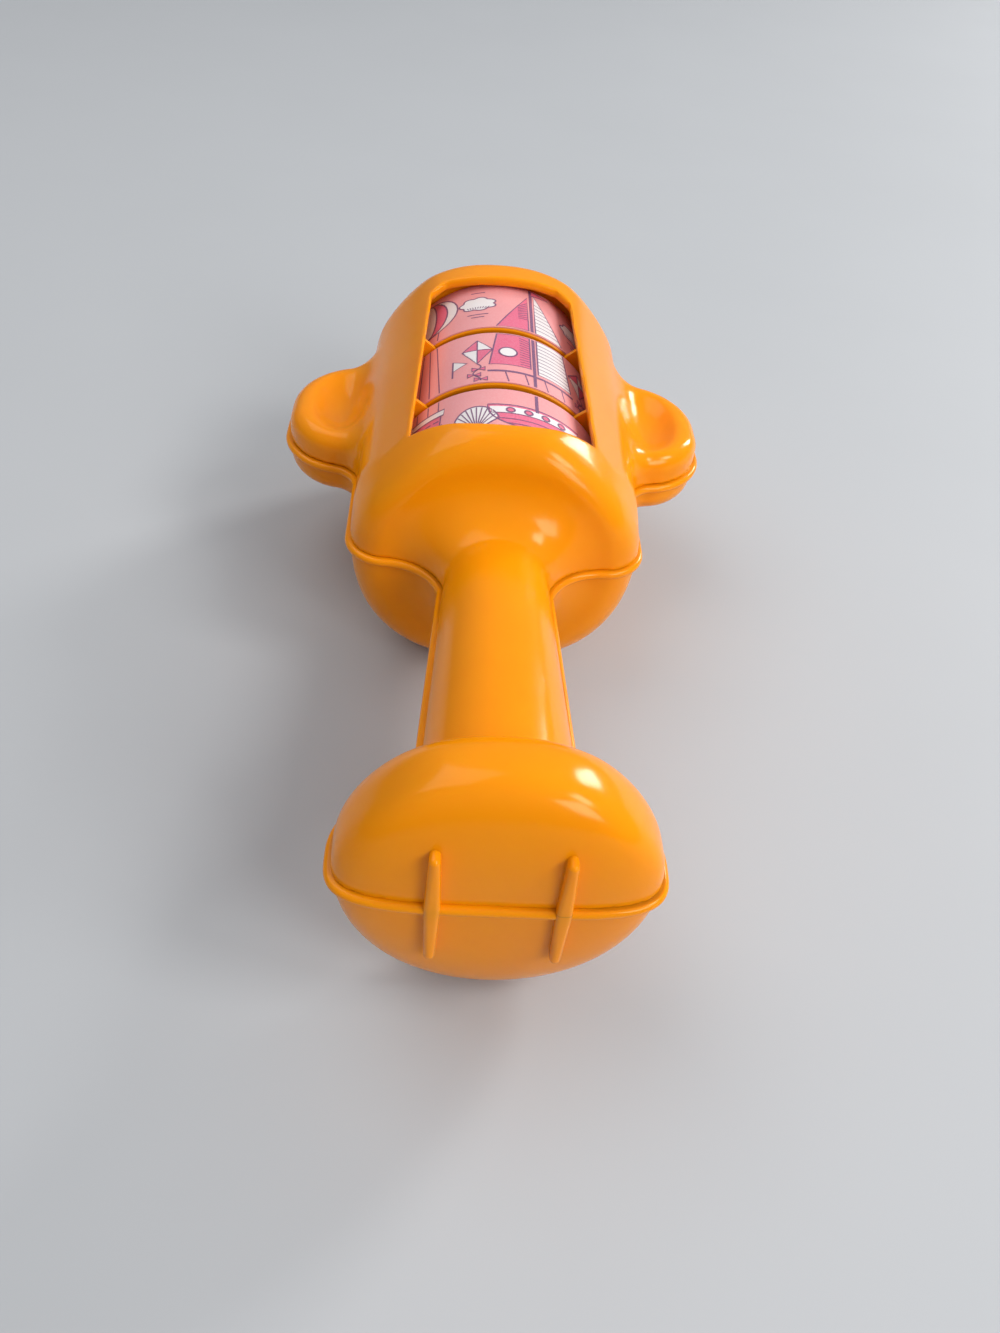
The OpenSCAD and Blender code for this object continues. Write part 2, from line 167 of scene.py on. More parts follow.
@named
class CaseCurves(bpy.types.PropertyGroup):
    """Squareness and slopes of the case"""

    foot_squareness: ratio(3.8, "Power of the bulb's end in plan, 2 is an ellipse")
    foot_rise: ratio(2.7, "Power of the bulb's end seen from the side")
    foot_neck_squareness: ratio(2.5, "Power of the bulb towards the handle")
    foot_section: ratio(2.1, "Power of the foot's and handle's front sections")
    foot_back_section: ratio(1.95, "Power of their back sections")
    front_squareness: ratio(2.3, "Power of the head's front sections")
    back_squareness: ratio(2.35, "Power of the head's back sections")
    handle_roundness: ratio(0.98, "Handle height as a part of its half width")
    dish_stretch: ratio(1.75, "Stretch of the ear's scoop along the head")
    flat_slope: angle(46, "Slope of the flat beside the window")
    flat_lean: angle(0.8, "Lean of that flat along the head")


@named
class MeshSteps(bpy.types.PropertyGroup):
    """Fineness of the modelled shells"""

    coarse: length(0.9, "Grid step on plain surfaces")
    fine: length(0.4, "Grid step at edges")
    path: length(0.7, "Step along the bead")


@named
class Finishes(bpy.types.PropertyGroup):
    """Colours of the moulded pieces, the print and the stage"""

    case: colour((0.95, 0.305, 0.002), "Orange-yellow case plastic")
    case_deep: colour((0.92, 0.275, 0.0015), "Case plastic where it runs darker")
    drum: colour((0.92, 0.29, 0.002), "Drum plastic")
    # Colour of the small scuffs, also used for the painted shade in the bead crease and the drum gaps
    scuff: colour((0.10, 0.035, 0.004), "Small dark scuffs")
    ground: colour((0.87, 0.34, 0.34), "Pink ground of the print")
    rose: colour((0.78, 0.14, 0.24), "Deeper pink of the print")
    plum: colour((0.20, 0.075, 0.17), "Purple line work of the print")
    cream: colour((0.86, 0.80, 0.78), "Off-white of the print")
    steel: colour((0.48, 0.49, 0.52), "Drawn steel of the axle")
    pellet: colour((0.70, 0.66, 0.57), "Plain rattle pellets")
    floor: colour((0.47, 0.48, 0.49), "Pale floor")


@named
class CameraPlace(bpy.types.PropertyGroup):
    """Where the picture is taken from"""

    place: FloatVectorProperty(
        description="Camera position", default=(-0.01247, -0.18842, 0.18160), unit="LENGTH"
    )
    pitch: angle(43.728, "Angle below the horizon")
    yaw: angle(4.902, "Turn towards the right ear")
    roll: angle(-6.352, "Turn about the line of sight")
    lens: FloatProperty(description="Focal length in millimetres", default=29.46, min=1)


# Field helpers

def smooth_step(t):
    """0 to 1 with level ends."""
    t = np.clip(t, 0, 1)
    return t * t * (3 - 2 * t)


def smooth_max(a, b, blend):
    """The larger of two values, with a soft change between them."""
    return np.maximum(a, b) + np.maximum(blend - np.abs(a - b), 0) ** 2 / (4 * blend)


def round_cut(a, b, radius):
    """What two fields share, with a rounded edge."""
    outer = np.hypot(np.maximum(a + radius, 0), np.maximum(b + radius, 0))
    return np.minimum(np.maximum(a, b), -radius) + outer


def round_join(a, b, radius):
    """Two fields as one, with a fillet."""
    return -round_cut(-a, -b, radius)


def corner(depth, radius):
    """How far a rounded corner falls short at a depth from the flat end."""
    reach = np.sqrt(np.maximum(radius**2 - (radius - depth) ** 2, 0))
    return np.where(depth >= radius, 0, radius - reach)


def oval(x, z, half_x, half_z, power):
    """Size and steepness of a superellipse through (x, z), with its two shares."""
    u, v = np.abs(x) / half_x + TINY, np.abs(z) / half_z
    size = (u**power + v**power) ** (1 / power)
    u, v = u / size, v / size
    steep = np.hypot(u ** (power - 1) / half_x, v ** (power - 1) / half_z)
    return size, steep, u**power / half_x, v**power / half_z


class CaseForm:
    """The case in millimetres, as fields that are below zero inside and zero on the surface.

    X runs across the ears, Y from the foot's flat end to the crown and Z out of the face, and the
    parting plane is at Z = 0.
    """

    def __init__(self, scene):
        for name in CaseSizes.__annotations__:
            setattr(self, name, getattr(scene.rattle_case, name) / MM)
        for name in CaseCurves.__annotations__:
            setattr(self, name, getattr(scene.rattle_curves, name))
        self.foot_mid = self.foot_end_length
        self.head_start = self.foot_mid + self.handle_length
        self.head_end = self.head_start + self.head_length
        drums = self.head_length - self.chin_depth - self.crown_depth - 2 * self.drum_gap
        self.drum_length = drums / len(DRUMS)
        self.drum_pitch = self.drum_length + self.drum_gap
        self.drum_mid = self.head_start + self.chin_depth + 1.5 * self.drum_length + self.drum_gap
        self.window_near = self.head_start + self.chin_depth + self.window_near_lip
        self.window_far = self.head_end - self.crown_depth - self.window_far_lip
        self.ear_near = self.head_start + self.ear_set
        self.ear_mid = self.ear_near + self.ear_length / 2
        low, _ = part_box("back_shell")
        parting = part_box("front_shell")[0].z
        self.origin = Vector((0, low.y + self.rib_out * MM, parting))

    def handle(self, y, inset):
        """Half width of the tapered handle."""
        slope = (self.handle_head_half_width - self.handle_foot_half_width) / self.handle_length
        return self.handle_foot_half_width + slope * (y - self.foot_mid) - inset

    def outline(self, y, inset, half, radius, roundness):
        """Half size of the handle, the neck's fillet and the head."""
        neck = self.handle_head_half_width * roundness - inset
        fillet = half - radius - neck
        depth = y - self.head_start - inset
        chin = half - inset - corner(depth, radius - inset)
        curve = neck + fillet - np.sqrt(np.maximum(fillet**2 - (fillet + depth) ** 2, 0))
        straight = self.handle(y, inset) * roundness
        stem = np.where(depth > -fillet, np.maximum(curve, straight), straight)
        return np.where(depth >= 0, chin, stem)

    def growing(self, y, *form):
        """An outline's half size at y and how fast it grows there."""
        growth = (self.outline(y + PROBE, *form) - self.outline(y - PROBE, *form)) / (2 * PROBE)
        return self.outline(y, *form), growth

    def foot(self, x, y, z, inset, front):
        """The bulb of the foot."""
        end = np.where(y < self.foot_mid, self.foot_end_length, self.foot_neck_length) - inset
        half = self.foot_half_width - inset
        height = (self.foot_front_height if front else self.foot_back_height) - inset
        section = self.foot_section if front else self.foot_back_section
        size, steep, _, up = oval(x, z, half, height, section)
        along = np.abs(y - self.foot_mid) / end
        end_power = self.foot_squareness + (self.foot_rise - self.foot_squareness) * up * height
        power = np.where(y < self.foot_mid, end_power, self.foot_neck_squareness)
        whole = (size**power + along**power) ** (1 / power)
        slope_across = steep * (size / whole) ** (power - 1)
        slope_along = (along / whole) ** (power - 1) / end
        return (whole - 1) / np.hypot(slope_across, slope_along)

    def body(self, x, y, z, inset, front):
        """Foot, handle and head, drawn in by an inset. The muzzle stands back from the chin's corners."""
        along = y
        if front:
            size = self.head_front_height
            edge = self.muzzle_inner_radius + inset if inset else self.muzzle_radius
            squareness, crown = self.front_squareness, self.crown_front_radius
            across, up = (x / self.head_half_width) ** 2, (z / size) ** 2
            along = y - (self.chin_depth - self.muzzle_cover) * up / (across + up + TINY)
        else:
            size, edge = self.head_back_height, self.back_radius
            squareness, crown = self.back_squareness, self.crown_back_radius
        half, widening = self.growing(along, inset, self.head_half_width, self.chin_radius, 1)
        height, rising = self.growing(along, inset, size, edge, self.handle_roundness)
        to_head = smooth_step((y - self.head_start + self.section_change) / self.section_change)
        low = self.foot_section if front else self.foot_back_section
        power = low + (squareness - low) * to_head
        size, steep, across, up = oval(x, z, half, height, power)
        crown_edge = (across * (self.crown_plan_radius - inset) + up * (crown - inset)) / steep
        slope = np.hypot(steep, across * widening + up * rising)
        stem = round_cut((size - 1) / slope, y - self.head_end + inset, crown_edge)
        stem = np.maximum(stem, self.foot_mid - y)
        return round_join(self.foot(x, y, z, inset, front), stem, self.foot_fillet)

    def ear_plan(self, x, y):
        """Outline of an ear seen from the face."""
        root = self.head_half_width - self.ear_root
        tilt = math.atan2(self.ear_slant, self.ear_reach - self.ear_near_radius - root)
        near = (x - root) * math.sin(tilt) - (y - self.ear_near) * math.cos(tilt)
        tip = round_cut(near, x - self.ear_reach, self.ear_near_radius)
        return round_cut(tip, y - self.ear_near - self.ear_length, self.ear_far_radius)

    def ear(self, x, y, z, front):
        """An ear, dished on the face side."""
        plan = self.ear_plan(x, y)
        if not front:
            return round_cut(plan, -z - self.ear_back_height, self.ear_back_edge)
        across, along = x - self.dish_reach, (y - self.ear_mid) / self.dish_stretch
        ball = np.sqrt(np.maximum(self.dish_radius**2 - across**2 - along**2, 0))
        floor = self.ear_front_height - self.dish_depth + (self.dish_radius - ball)
        top = -smooth_max(-self.ear_front_height, -floor, self.dish_blend)
        return round_cut(plan, z - top, self.ear_front_edge)

    def flat(self, x, y, z):
        """The slice beside the window."""
        away = x * math.sin(self.flat_slope) + z * math.cos(self.flat_slope) - self.flat_distance
        return away * math.cos(self.flat_lean) - (y - self.drum_mid) * math.sin(self.flat_lean)

    def without_ears(self, x, y, z, front):
        """Foot, handle and head with the flats beside the window, whose edges soften towards the muzzle."""
        body = self.body(x, y, z, 0, front)
        if not front:
            return body
        soft = smooth_step((self.window_near + self.flat_fade / 2 - y) / self.flat_fade)
        edge = self.flat_edge + (self.flat_end_edge - self.flat_edge) * soft
        return round_cut(body, self.flat(x, y, z), edge)

    def outside(self, x, y, z, front):
        """The whole case as a solid."""
        return round_join(self.without_ears(x, y, z, front), self.ear(x, y, z, front), self.ear_fillet)

    def hollow(self, x, y, z, front):
        """The space inside the case."""
        top = (self.ear_front_height - self.dish_depth if front else self.ear_back_height) - self.wall
        ear = np.maximum(self.ear_plan(x, y) + self.wall, np.abs(z) - top)
        head = self.body(x, y, z, self.wall, front)
        if front:
            head = np.maximum(head, self.flat(x, y, z) + self.wall)
        return np.minimum(head, ear)

    def shell(self, x, y, z, front):
        """The case with its space inside."""
        outside = self.outside(x, y, z, front)
        hollow = np.maximum(self.hollow(x, y, z, front), outside + self.least_wall)
        return np.maximum(outside, -hollow)

    def window_half(self, y):
        """Half width of the window."""
        share = (y - self.window_near) / (self.window_far - self.window_near)
        widening = self.window_far_half_width - self.window_near_half_width
        return self.window_near_half_width + widening * share

    def window(self, x, y):
        """The window, seen from the face."""
        near = self.window_near + self.window_bow * (x / self.window_near_half_width) ** 2 - y
        side, far = x - self.window_half(y), y - self.window_far
        chamfer = (side + far + self.window_corner) / math.sqrt(2)
        return np.maximum(np.maximum(side, far), np.maximum(near, chamfer))

    def front_shell(self, x, y, z):
        """The face half of the case."""
        x = np.abs(x)
        shell = round_cut(self.shell(x, y, z, True), -self.window(x, y), self.window_edge)
        return np.maximum(shell, -z)

    def back_shell(self, x, y, z):
        """The back half of the case."""
        x = np.abs(x)
        return np.maximum(self.shell(x, y, z, False), z)

    def plan(self, points):
        """The case's outline at the parting plane."""
        x, y = np.abs(points[:, 0]), points[:, 1]
        body = self.body(x, y, np.zeros_like(x), 0, False)
        return round_join(body, self.ear_plan(x, y), self.ear_fillet)


# Mesh helpers

class Patchwork:
    """Vertices and faces, gathered piece by piece in millimetres."""

    def __init__(self):
        self.points, self.faces = [], []

    def add(self, points, faces):
        """Takes in points, and faces that count from the first of them."""
        start = len(self.points)
        self.points += [tuple(p) for p in points]
        self.faces += [tuple(start + int(i) for i in face) for face in faces]

    def rings(self, rings, closed=False):
        """A skin through rings of like points, with end caps unless the rings close on themselves."""
        count, size = len(rings), len(rings[0])
        faces = []
        for j in range(count if closed else count - 1):
            for i in range(size):
                k, n = (j + 1) % count, (i + 1) % size
                faces.append((j * size + i, j * size + n, k * size + n, k * size + i))
        if not closed:
            faces.append(tuple(range(size))[::-1])
            faces.append(tuple((count - 1) * size + i for i in range(size)))
        self.add([p for ring in rings for p in ring], faces)

    def build(self, name, origin):
        """A smooth shaded object in metres."""
        mesh = bpy.data.meshes.new(name)
        mesh.from_pydata([Vector(p) * MM + origin for p in self.points], [], self.faces)
        mesh.validate()
        mesh.shade_smooth()
        mesh.set_sharp_from_angle(angle=SMOOTH_BELOW)
        made = bpy.data.objects.new(name, mesh)
        bpy.context.scene.collection.objects.link(made)
        return made


def outward(made):
    """Turns every face of a closed mesh outwards."""
    work = bmesh.new()
    work.from_mesh(made.data)
    bmesh.ops.recalc_face_normals(work, faces=work.faces)
    work.to_mesh(made.data)
    work.free()
    return made


def grid_lines(low, high, step, close):
    """Lines from low to high, closer together round each (middle, reach, step) of close."""
    growth = 0.25
    lines = [low]
    while lines[-1] < high:
        here = lines[-1]
        gaps = [fine + max(abs(here - middle) - reach, 0) * growth for middle, reach, fine in close]
        lines.append(here + min([step, *gaps]))
    return np.array(lines)


def surface_net(field, lines):
    """Points and quads where the field is zero, one point in each grid cell that it crosses."""
    values = field(*np.ix_(*lines))
    cells = [len(line) - 1 for line in lines]
    inside = values < 0
    keys, points, quads = [], [], []
    for axis in range(3):
        first, second = [slice(None)] * 3, [slice(None)] * 3
        first[axis], second[axis] = slice(0, -1), slice(1, None)
        start = np.argwhere(inside[tuple(first)] != inside[tuple(second)])
        end = start.copy()
        end[:, axis] += 1
        here, there = values[tuple(start.T)], values[tuple(end.T)]
        point = np.stack([lines[k][start[:, k]] for k in range(3)], 1)
        point[:, axis] += (lines[axis][end[:, axis]] - point[:, axis]) * here / (here - there)
        b, c = (axis + 1) % 3, (axis + 2) % 3
        quad = []
        for step_b, step_c in ((-1, -1), (0, -1), (0, 0), (-1, 0)):
            cell = start.copy()
            cell[:, b] += step_b
            cell[:, c] += step_c
            quad.append(np.ravel_multi_index(cell.T, cells))
        keys += quad
        points += [point] * 4
        quad = np.stack(quad, 1)
        quads.append(np.where((here < 0)[:, None], quad, quad[:, ::-1]))
    unique, inverse = np.unique(np.concatenate(keys), return_inverse=True)
    points = np.concatenate(points)
    share = np.bincount(inverse)
    points = np.stack([np.bincount(inverse, points[:, k]) / share for k in range(3)], 1)
    return points, np.searchsorted(unique, np.concatenate(quads))


def slope_of(field, points):
    """The field's slope at each point."""
    columns = []
    for step in PROBE * np.eye(points.shape[1]):
        columns.append((field(points + step) - field(points - step)) / (2 * PROBE))
    return np.stack(columns, 1)


def settle(field, points, rounds, limit):
    """Moves points on to the field's surface, by no more than a limit in each round."""
    least_slope = 0.05
    for _ in range(rounds):
        slope = slope_of(field, points)
        move = (field(points) / np.maximum((slope**2).sum(1), least_slope))[:, None] * slope
        far = np.linalg.norm(move, axis=1, keepdims=True)
        points = points - move * np.minimum(1, limit / np.maximum(far, TINY))
    return points


def relax(points, quads, share):
    """Moves each point towards the middle of its neighbours."""
    start, end = quads.ravel(), np.roll(quads, -1, 1).ravel()
    count = np.maximum(np.bincount(start, minlength=len(points)), 1)
    sums = [np.bincount(start, points[end, k], len(points)) for k in range(3)]
    return points + share * (np.stack(sums, 1) / count[:, None] - points)


def moulded_skin(field, lines):
    """An even quad skin on a field's surface."""
    limit, passes = 0.4, 3
    points, quads = surface_net(field, lines)

    def at(p):
        return field(p[:, 0], p[:, 1], p[:, 2])

    points = settle(at, points, passes, limit)
    for _ in range(passes):
        points = settle(at, relax(points, quads, share=0.5), 2, limit)
    return points, quads


def case_lines(form, steps, front):
    """Grid lines for one shell, close together at the foot's end, the chin, the crown and the parting plane.

    On the face half they are also close at the window, at the head's sides and under its top.
    """
    coarse, fine = steps.coarse / MM, steps.fine / MM
    edge, middling = 2 * coarse, 1.5 * fine
    top = form.head_front_height if front else form.head_back_height
    # Each entry holds a middle, a reach and a step in millimetres
    close_x = []
    close_y = [(0, 2, fine), (form.head_start + 3.5, 4, fine), (form.head_end, 1, fine)]
    close_z = [(0, 1, fine)]
    if front:
        wide, narrow = form.window_near_half_width, form.window_far_half_width
        bow = form.window_bow / 2
        close_x += [((wide + narrow) / 2, (wide - narrow) / 2 + 1, fine)]
        close_x += [(form.head_half_width - 5, 3, middling)]
        close_y += [(form.window_near + bow, bow + 1, fine), (form.window_far, 1.5, fine)]
        close_z += [(top - 4, 4, middling)]
    across = grid_lines(coarse / 2, form.ear_reach + edge, coarse, close_x)
    along = grid_lines(-edge, form.head_end + edge, coarse, close_y)
    up = grid_lines(-edge / 2, top + edge, coarse, close_z)
    return [np.concatenate([-across[::-1], across]), along, up if front else -up[::-1]]


def bead_path(form, step):
    """Points of the case's outline at the parting plane with their outward directions, foot to crown."""
    points, sides = [], []
    here = np.zeros((1, 2))
    while here[0, 0] >= 0 or here[0, 1] < form.head_end / 2:
        here = settle(form.plan, here, rounds=4, limit=step)
        side = slope_of(form.plan, here)[0]
        side /= np.linalg.norm(side)
        points.append(here[0])
        sides.append(side)
        here = here + step * np.array([[-side[1], side[0]]])
    return np.array(points), np.array(sides)


def add_bead(work, form, step):
    """The rounded bead round the parting line."""
    points, sides = bead_path(form, step)
    mirror = np.array([-1, 1])
    points = np.concatenate([points, points[-1:0:-1] * mirror])
    sides = np.concatenate([sides, sides[-1:0:-1] * mirror])
    half, bends = form.bead_height / 2, 8
    profile = [(-form.bead_root, 0), (-form.bead_root, -form.bead_height)]
    for k in range(bends + 1):
        turn = math.radians(180 * k / bends - 90)
        profile.append((form.bead_out - half + half * math.cos(turn), half * math.sin(turn) - half))
    rings = []
    for point, side in zip(points, sides):
        rings.append([(*(point + out * side), up) for out, up in profile])
    work.rings(rings, closed=True)


def add_ribs(work, form, front):
    """One shell's halves of the two standing ribs, with rounded edges."""
    tip = form.rib_middle + (form.rib_length if front else -form.rib_length) / 2
    up = 1 if front else -1
    reach = abs(tip) - form.rib_end_width / 2
    lean = math.asin((form.rib_width - form.rib_end_width) / 2 / reach)
    edge_bends, tip_bends = 4, 12
    edge = [(0, form.wall)]
    for k in range(edge_bends + 1):
        turn = math.radians(90 * k / edge_bends)
        fall = form.rib_round * (1 - math.sin(turn))
        edge.append((form.rib_round * (1 - math.cos(turn)), fall - form.rib_out))
    for side in (-1, 1):
        rings = []
        for draw_in, y in edge:
            radius = form.rib_end_width / 2 - draw_in
            ring = [(form.rib_width / 2 - draw_in, 0)]
            for k in range(tip_bends + 1):
                turn = lean + (math.pi - 2 * lean) * k / tip_bends
                ring.append((radius * math.cos(turn), reach + radius * math.sin(turn)))
            ring.append((draw_in - form.rib_width / 2, 0))
            rings.append([(side * form.rib_spacing / 2 + x, y, up * z) for x, z in ring])
        work.rings(rings)


def plate_reach(form, place, turns, front):
    """How far out a plate meets the middle of the case's wall, for each turn about the axle."""
    nearest, farthest, halvings = 10.0, 60.0, 24
    c, s = np.abs(np.cos(turns)), np.sin(turns)
    low, high = np.full(len(turns), nearest), np.full(len(turns), farthest)
    for _ in range(halvings):
        middle = (low + high) / 2
        inside = np.full(len(turns), True)
        for y in (place, place + form.plate):
            depth = form.without_ears(middle * c, np.full(len(turns), y), middle * s, front)
            inside &= depth < -form.wall / 2
        low, high = np.where(inside, middle, low), np.where(inside, high, middle)
    return low


def add_plate(work, form, place, bore, turns, reach):
    """A plate across the head, from its bore out to the reach at each of its turns about the axle."""
    rings = []
    for turn, outer in zip(turns, reach):
        c, s = math.cos(turn), math.sin(turn)
        ring = []
        for y, radius in ((0, bore), (form.plate, bore), (form.plate, outer), (0, outer)):
            ring.append((radius * c, place + y, radius * s))
        rings.append(ring)
    work.rings(rings)


def add_plates(work, form, front):
    """The saddle plates and partition plates of one shell."""
    off_parting = 0.5
    half_turn = (1 if front else -1) * np.radians(np.linspace(off_parting, 180 - off_parting, 61))
    saddle = form.drum_pitch + form.drum_length / 2 + form.end_play
    for place in (form.drum_mid - saddle - form.plate, form.drum_mid + saddle):
        reach = plate_reach(form, place, half_turn, front)
        add_plate(work, form, place, form.saddle_bore, half_turn, reach)
    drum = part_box("middle_band")[1].x / MM
    for side in (-1, 1):
        place = form.drum_mid + (side * form.drum_pitch - form.plate) / 2
        if not front:
            reach = plate_reach(form, place, half_turn, False)
            add_plate(work, form, place, form.partition_bore, half_turn, reach)
            continue
        edge = form.window_half(place)
        under = form.flat_distance - form.wall - edge * math.sin(form.flat_slope)
        under /= math.cos(form.flat_slope)
        root, tip = math.atan2(under, edge), math.acos((edge - form.fin_reach) / drum)
        turns = np.linspace(0.01, tip, 33)
        share = (turns - root) / (tip - root)
        fin = math.hypot(edge, under) * (1 - share) + drum * share
        reach = np.where(turns < root, plate_reach(form, place, turns, True), fin)
        add_plate(work, form, place, form.partition_bore, turns, reach)
        add_plate(work, form, place, form.partition_bore, math.pi - turns[::-1], reach[::-1])


# Material helpers

class Nodes:
    """Short calls for a node tree."""

    def __init__(self, tree):
        self.tree = tree

    def feed(self, node, values):
        """Links or sets inputs of a node."""
        for socket, value in values.items():
            if isinstance(value, bpy.types.NodeSocket):
                self.tree.links.new(value, node.inputs[socket])
            else:
                node.inputs[socket].default_value = value

    def add(self, kind, values=None, **settings):
        """A new node with its settings and inputs."""
        node = self.tree.nodes.new(kind)
        for name, value in settings.items():
            setattr(node, name, value)
        self.feed(node, values or {})
        return node

    def math(self, operation, *values):
        """A number worked out from others."""
        return self.add("ShaderNodeMath", dict(enumerate(values)), operation=operation).outputs[0]

    def times(self, a, b):
        """Two numbers multiplied."""
        return self.math("MULTIPLY", a, b)

    def vector(self, operation, *values):
        """The outputs of a vector sum."""
        return self.add("ShaderNodeVectorMath", dict(enumerate(values)), operation=operation).outputs

    def noise(self, where, scale, detail=2.0, roughness=0.5):
        """Cloudy noise between 0 and 1."""
        values = {"Vector": where, "Scale": scale, "Detail": detail, "Roughness": roughness}
        return self.add("ShaderNodeTexNoise", values).outputs["Fac"]

    def ramp(self, value, low, high):
        """0 at low, 1 at high, clamped."""
        node = self.add("ShaderNodeMapRange", {"Value": value, "From Min": low, "From Max": high})
        return node.outputs["Result"]

    def mix(self, share, a, b):
        """A colour between a and b."""
        share_in, a_in, b_in, colour_out = 0, 6, 7, 2
        node = self.add("ShaderNodeMix", {share_in: share, a_in: a, b_in: b}, data_type="RGBA")
        return node.outputs[colour_out]


def new_group(name, inputs, outputs):
    """A node group with coordinates and numbers as its named inputs, numbers as outputs and no nodes yet."""
    tree = bpy.data.node_groups.new(name, "ShaderNodeTree")
    tree.interface.new_socket("Coordinates", in_out="INPUT", socket_type="NodeSocketVector")
    for label, default in inputs.items():
        socket = tree.interface.new_socket(label, in_out="INPUT", socket_type="NodeSocketFloat")
        socket.default_value = default
    for label in outputs:
        tree.interface.new_socket(label, in_out="OUTPUT", socket_type="NodeSocketFloat")
    nodes = Nodes(tree)
    return tree, nodes, nodes.add("NodeGroupInput").outputs, nodes.add("NodeGroupOutput").inputs


def moulded_group():
    """Mould ripple, fine grain and hairline scratches of a handled plastic surface."""
    name = "Moulded surface"
    if name in bpy.data.node_groups:
        return bpy.data.node_groups[name]
    inputs = {"Ripple": 1.0, "Grain": 1.0, "Scratches": 1.0}
    tree, nodes, given, result = new_group(name, inputs, ("Height", "Dullness", "Mottle"))
    where = given["Coordinates"]
    ripple = nodes.noise(where, scale=55, detail=1.5)
    grain = nodes.noise(where, scale=1900)
    grain_height, scratch_depth, worn_dullness, scratch_dullness = 0.012, 0.03, 0.6, 0.5
    line_width, lean = 0.012, (0.2, 0.1, 1)
    lines = None
    for turn, squeeze in ((0.5, 8), (1.9, 11), (2.7, 6)):
        turned = nodes.add("ShaderNodeVectorRotate", {"Vector": where, "Axis": lean, "Angle": turn})
        stretched = nodes.vector("MULTIPLY", turned.outputs[0], (1, squeeze * 3, 1))[0]
        streak = nodes.math("SUBTRACT", nodes.noise(stretched, scale=110, detail=1), 0.5)
        line = nodes.ramp(nodes.math("ABSOLUTE", streak), line_width, 0.0)
        patch = nodes.ramp(nodes.noise(where, scale=40 + squeeze, detail=1), 0.52, 0.68)
        line = nodes.times(line, patch)
        lines = line if lines is None else nodes.math("MAXIMUM", lines, line)
    scratches = nodes.times(lines, given["Scratches"])
    height = nodes.times(ripple, given["Ripple"])
    height = nodes.math("ADD", height, nodes.times(nodes.times(grain, grain_height), given["Grain"]))
    height = nodes.math("SUBTRACT", height, nodes.times(scratches, scratch_depth))
    worn = nodes.ramp(nodes.noise(where, scale=95, detail=3, roughness=0.6), 0.35, 0.75)
    dull = nodes.math("ADD", nodes.times(worn, worn_dullness), nodes.times(scratches, scratch_dullness))
    mottle = nodes.ramp(nodes.noise(where, scale=34, detail=3, roughness=0.55), 0.3, 0.75)
    for label, value in (("Height", height), ("Dullness", dull), ("Mottle", mottle)):
        tree.links.new(value, result[label])
    return tree


def speck_group():
    """Sparse small scuffs as a mask."""
    name = "Sparse specks"
    if name in bpy.data.node_groups:
        return bpy.data.node_groups[name]
    inputs = {"Spread": 60.0, "Size": 0.06, "Share": 0.1}
    tree, nodes, given, result = new_group(name, inputs, ("Mask",))
    where, bend_reach = given["Coordinates"], 0.6 * MM
    bend = nodes.add("ShaderNodeTexNoise", {"Vector": where, "Scale": 900.0}).outputs["Color"]
    shift = nodes.vector("MULTIPLY", bend, (bend_reach,) * 3)[0]
    moved = nodes.vector("ADD", where, shift)[0]
    spots = nodes.add("ShaderNodeTexVoronoi", {"Vector": moved, "Scale": given["Spread"]}).outputs
    near = nodes.math("LESS_THAN", spots["Distance"], given["Size"])
    parts = nodes.add("ShaderNodeSeparateColor", {"Color": spots["Color"]}).outputs
    chosen = nodes.math("LESS_THAN", parts[0], given["Share"])
    tree.links.new(nodes.times(near, chosen), result["Mask"])
    return tree


def new_material(name):
    """A material with its Principled BSDF and surface coordinates."""
    made = bpy.data.materials.new(name)
    made.use_nodes = True
    nodes = Nodes(made.node_tree)
    shader = made.node_tree.nodes["Principled BSDF"]
    where = nodes.add("ShaderNodeTexCoord").outputs["Object"]
    return made, nodes, shader, where


def set_bump(nodes, shader, height, strength, distance):
    """Feeds a height to the shader's normal."""
    bump = nodes.add("ShaderNodeBump", {"Height": height, "Strength": strength, "Distance": distance})
    nodes.tree.links.new(bump.outputs["Normal"], shader.inputs["Normal"])


def opaque(rgb, share=1.0):
    """A colour, or a darker share of it, with full alpha."""
    return (*(share * c for c in rgb), 1.0)


def seam_grime_and_shade(nodes, where):
    """Painted shade and grime in the crease above the bead, as a mask that is full between the crease and a
    height over it.
    """
    start, full, end, most = -0.08 * MM, 0.15 * MM, 0.35 * MM, 0.5
    height = nodes.add("ShaderNodeSeparateXYZ", {0: where}).outputs["Z"]
    height = nodes.math("SUBTRACT", height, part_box("front_shell")[0].z)
    # Painted shade of the crease, mixed with grime: a thin dark line just above the parting plane
    line = nodes.times(nodes.ramp(height, start, 0.0), nodes.ramp(height, end, full))
    patchy = nodes.ramp(nodes.noise(where, scale=60), 0.35, 0.7)
    return nodes.times(line, nodes.times(patchy, most))


def gap_painted_shade(nodes, where):
    """Painted shade in the gaps between the drums, as a mask that grows from one radius in to another."""
    start, full, most = 24.9 * MM, 23.8 * MM, 0.8
    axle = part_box("front_shell")[0].z
    across = nodes.vector("SUBTRACT", where, (0, 0, axle))[0]
    across = nodes.vector("MULTIPLY", across, (1, 0, 1))[0]
    radius = nodes.vector("LENGTH", across)["Value"]
    # Painted shade: the drums' end faces darken towards the axle, where the gaps between them fall into
    # shade
    return nodes.times(nodes.ramp(radius, start, full), most)


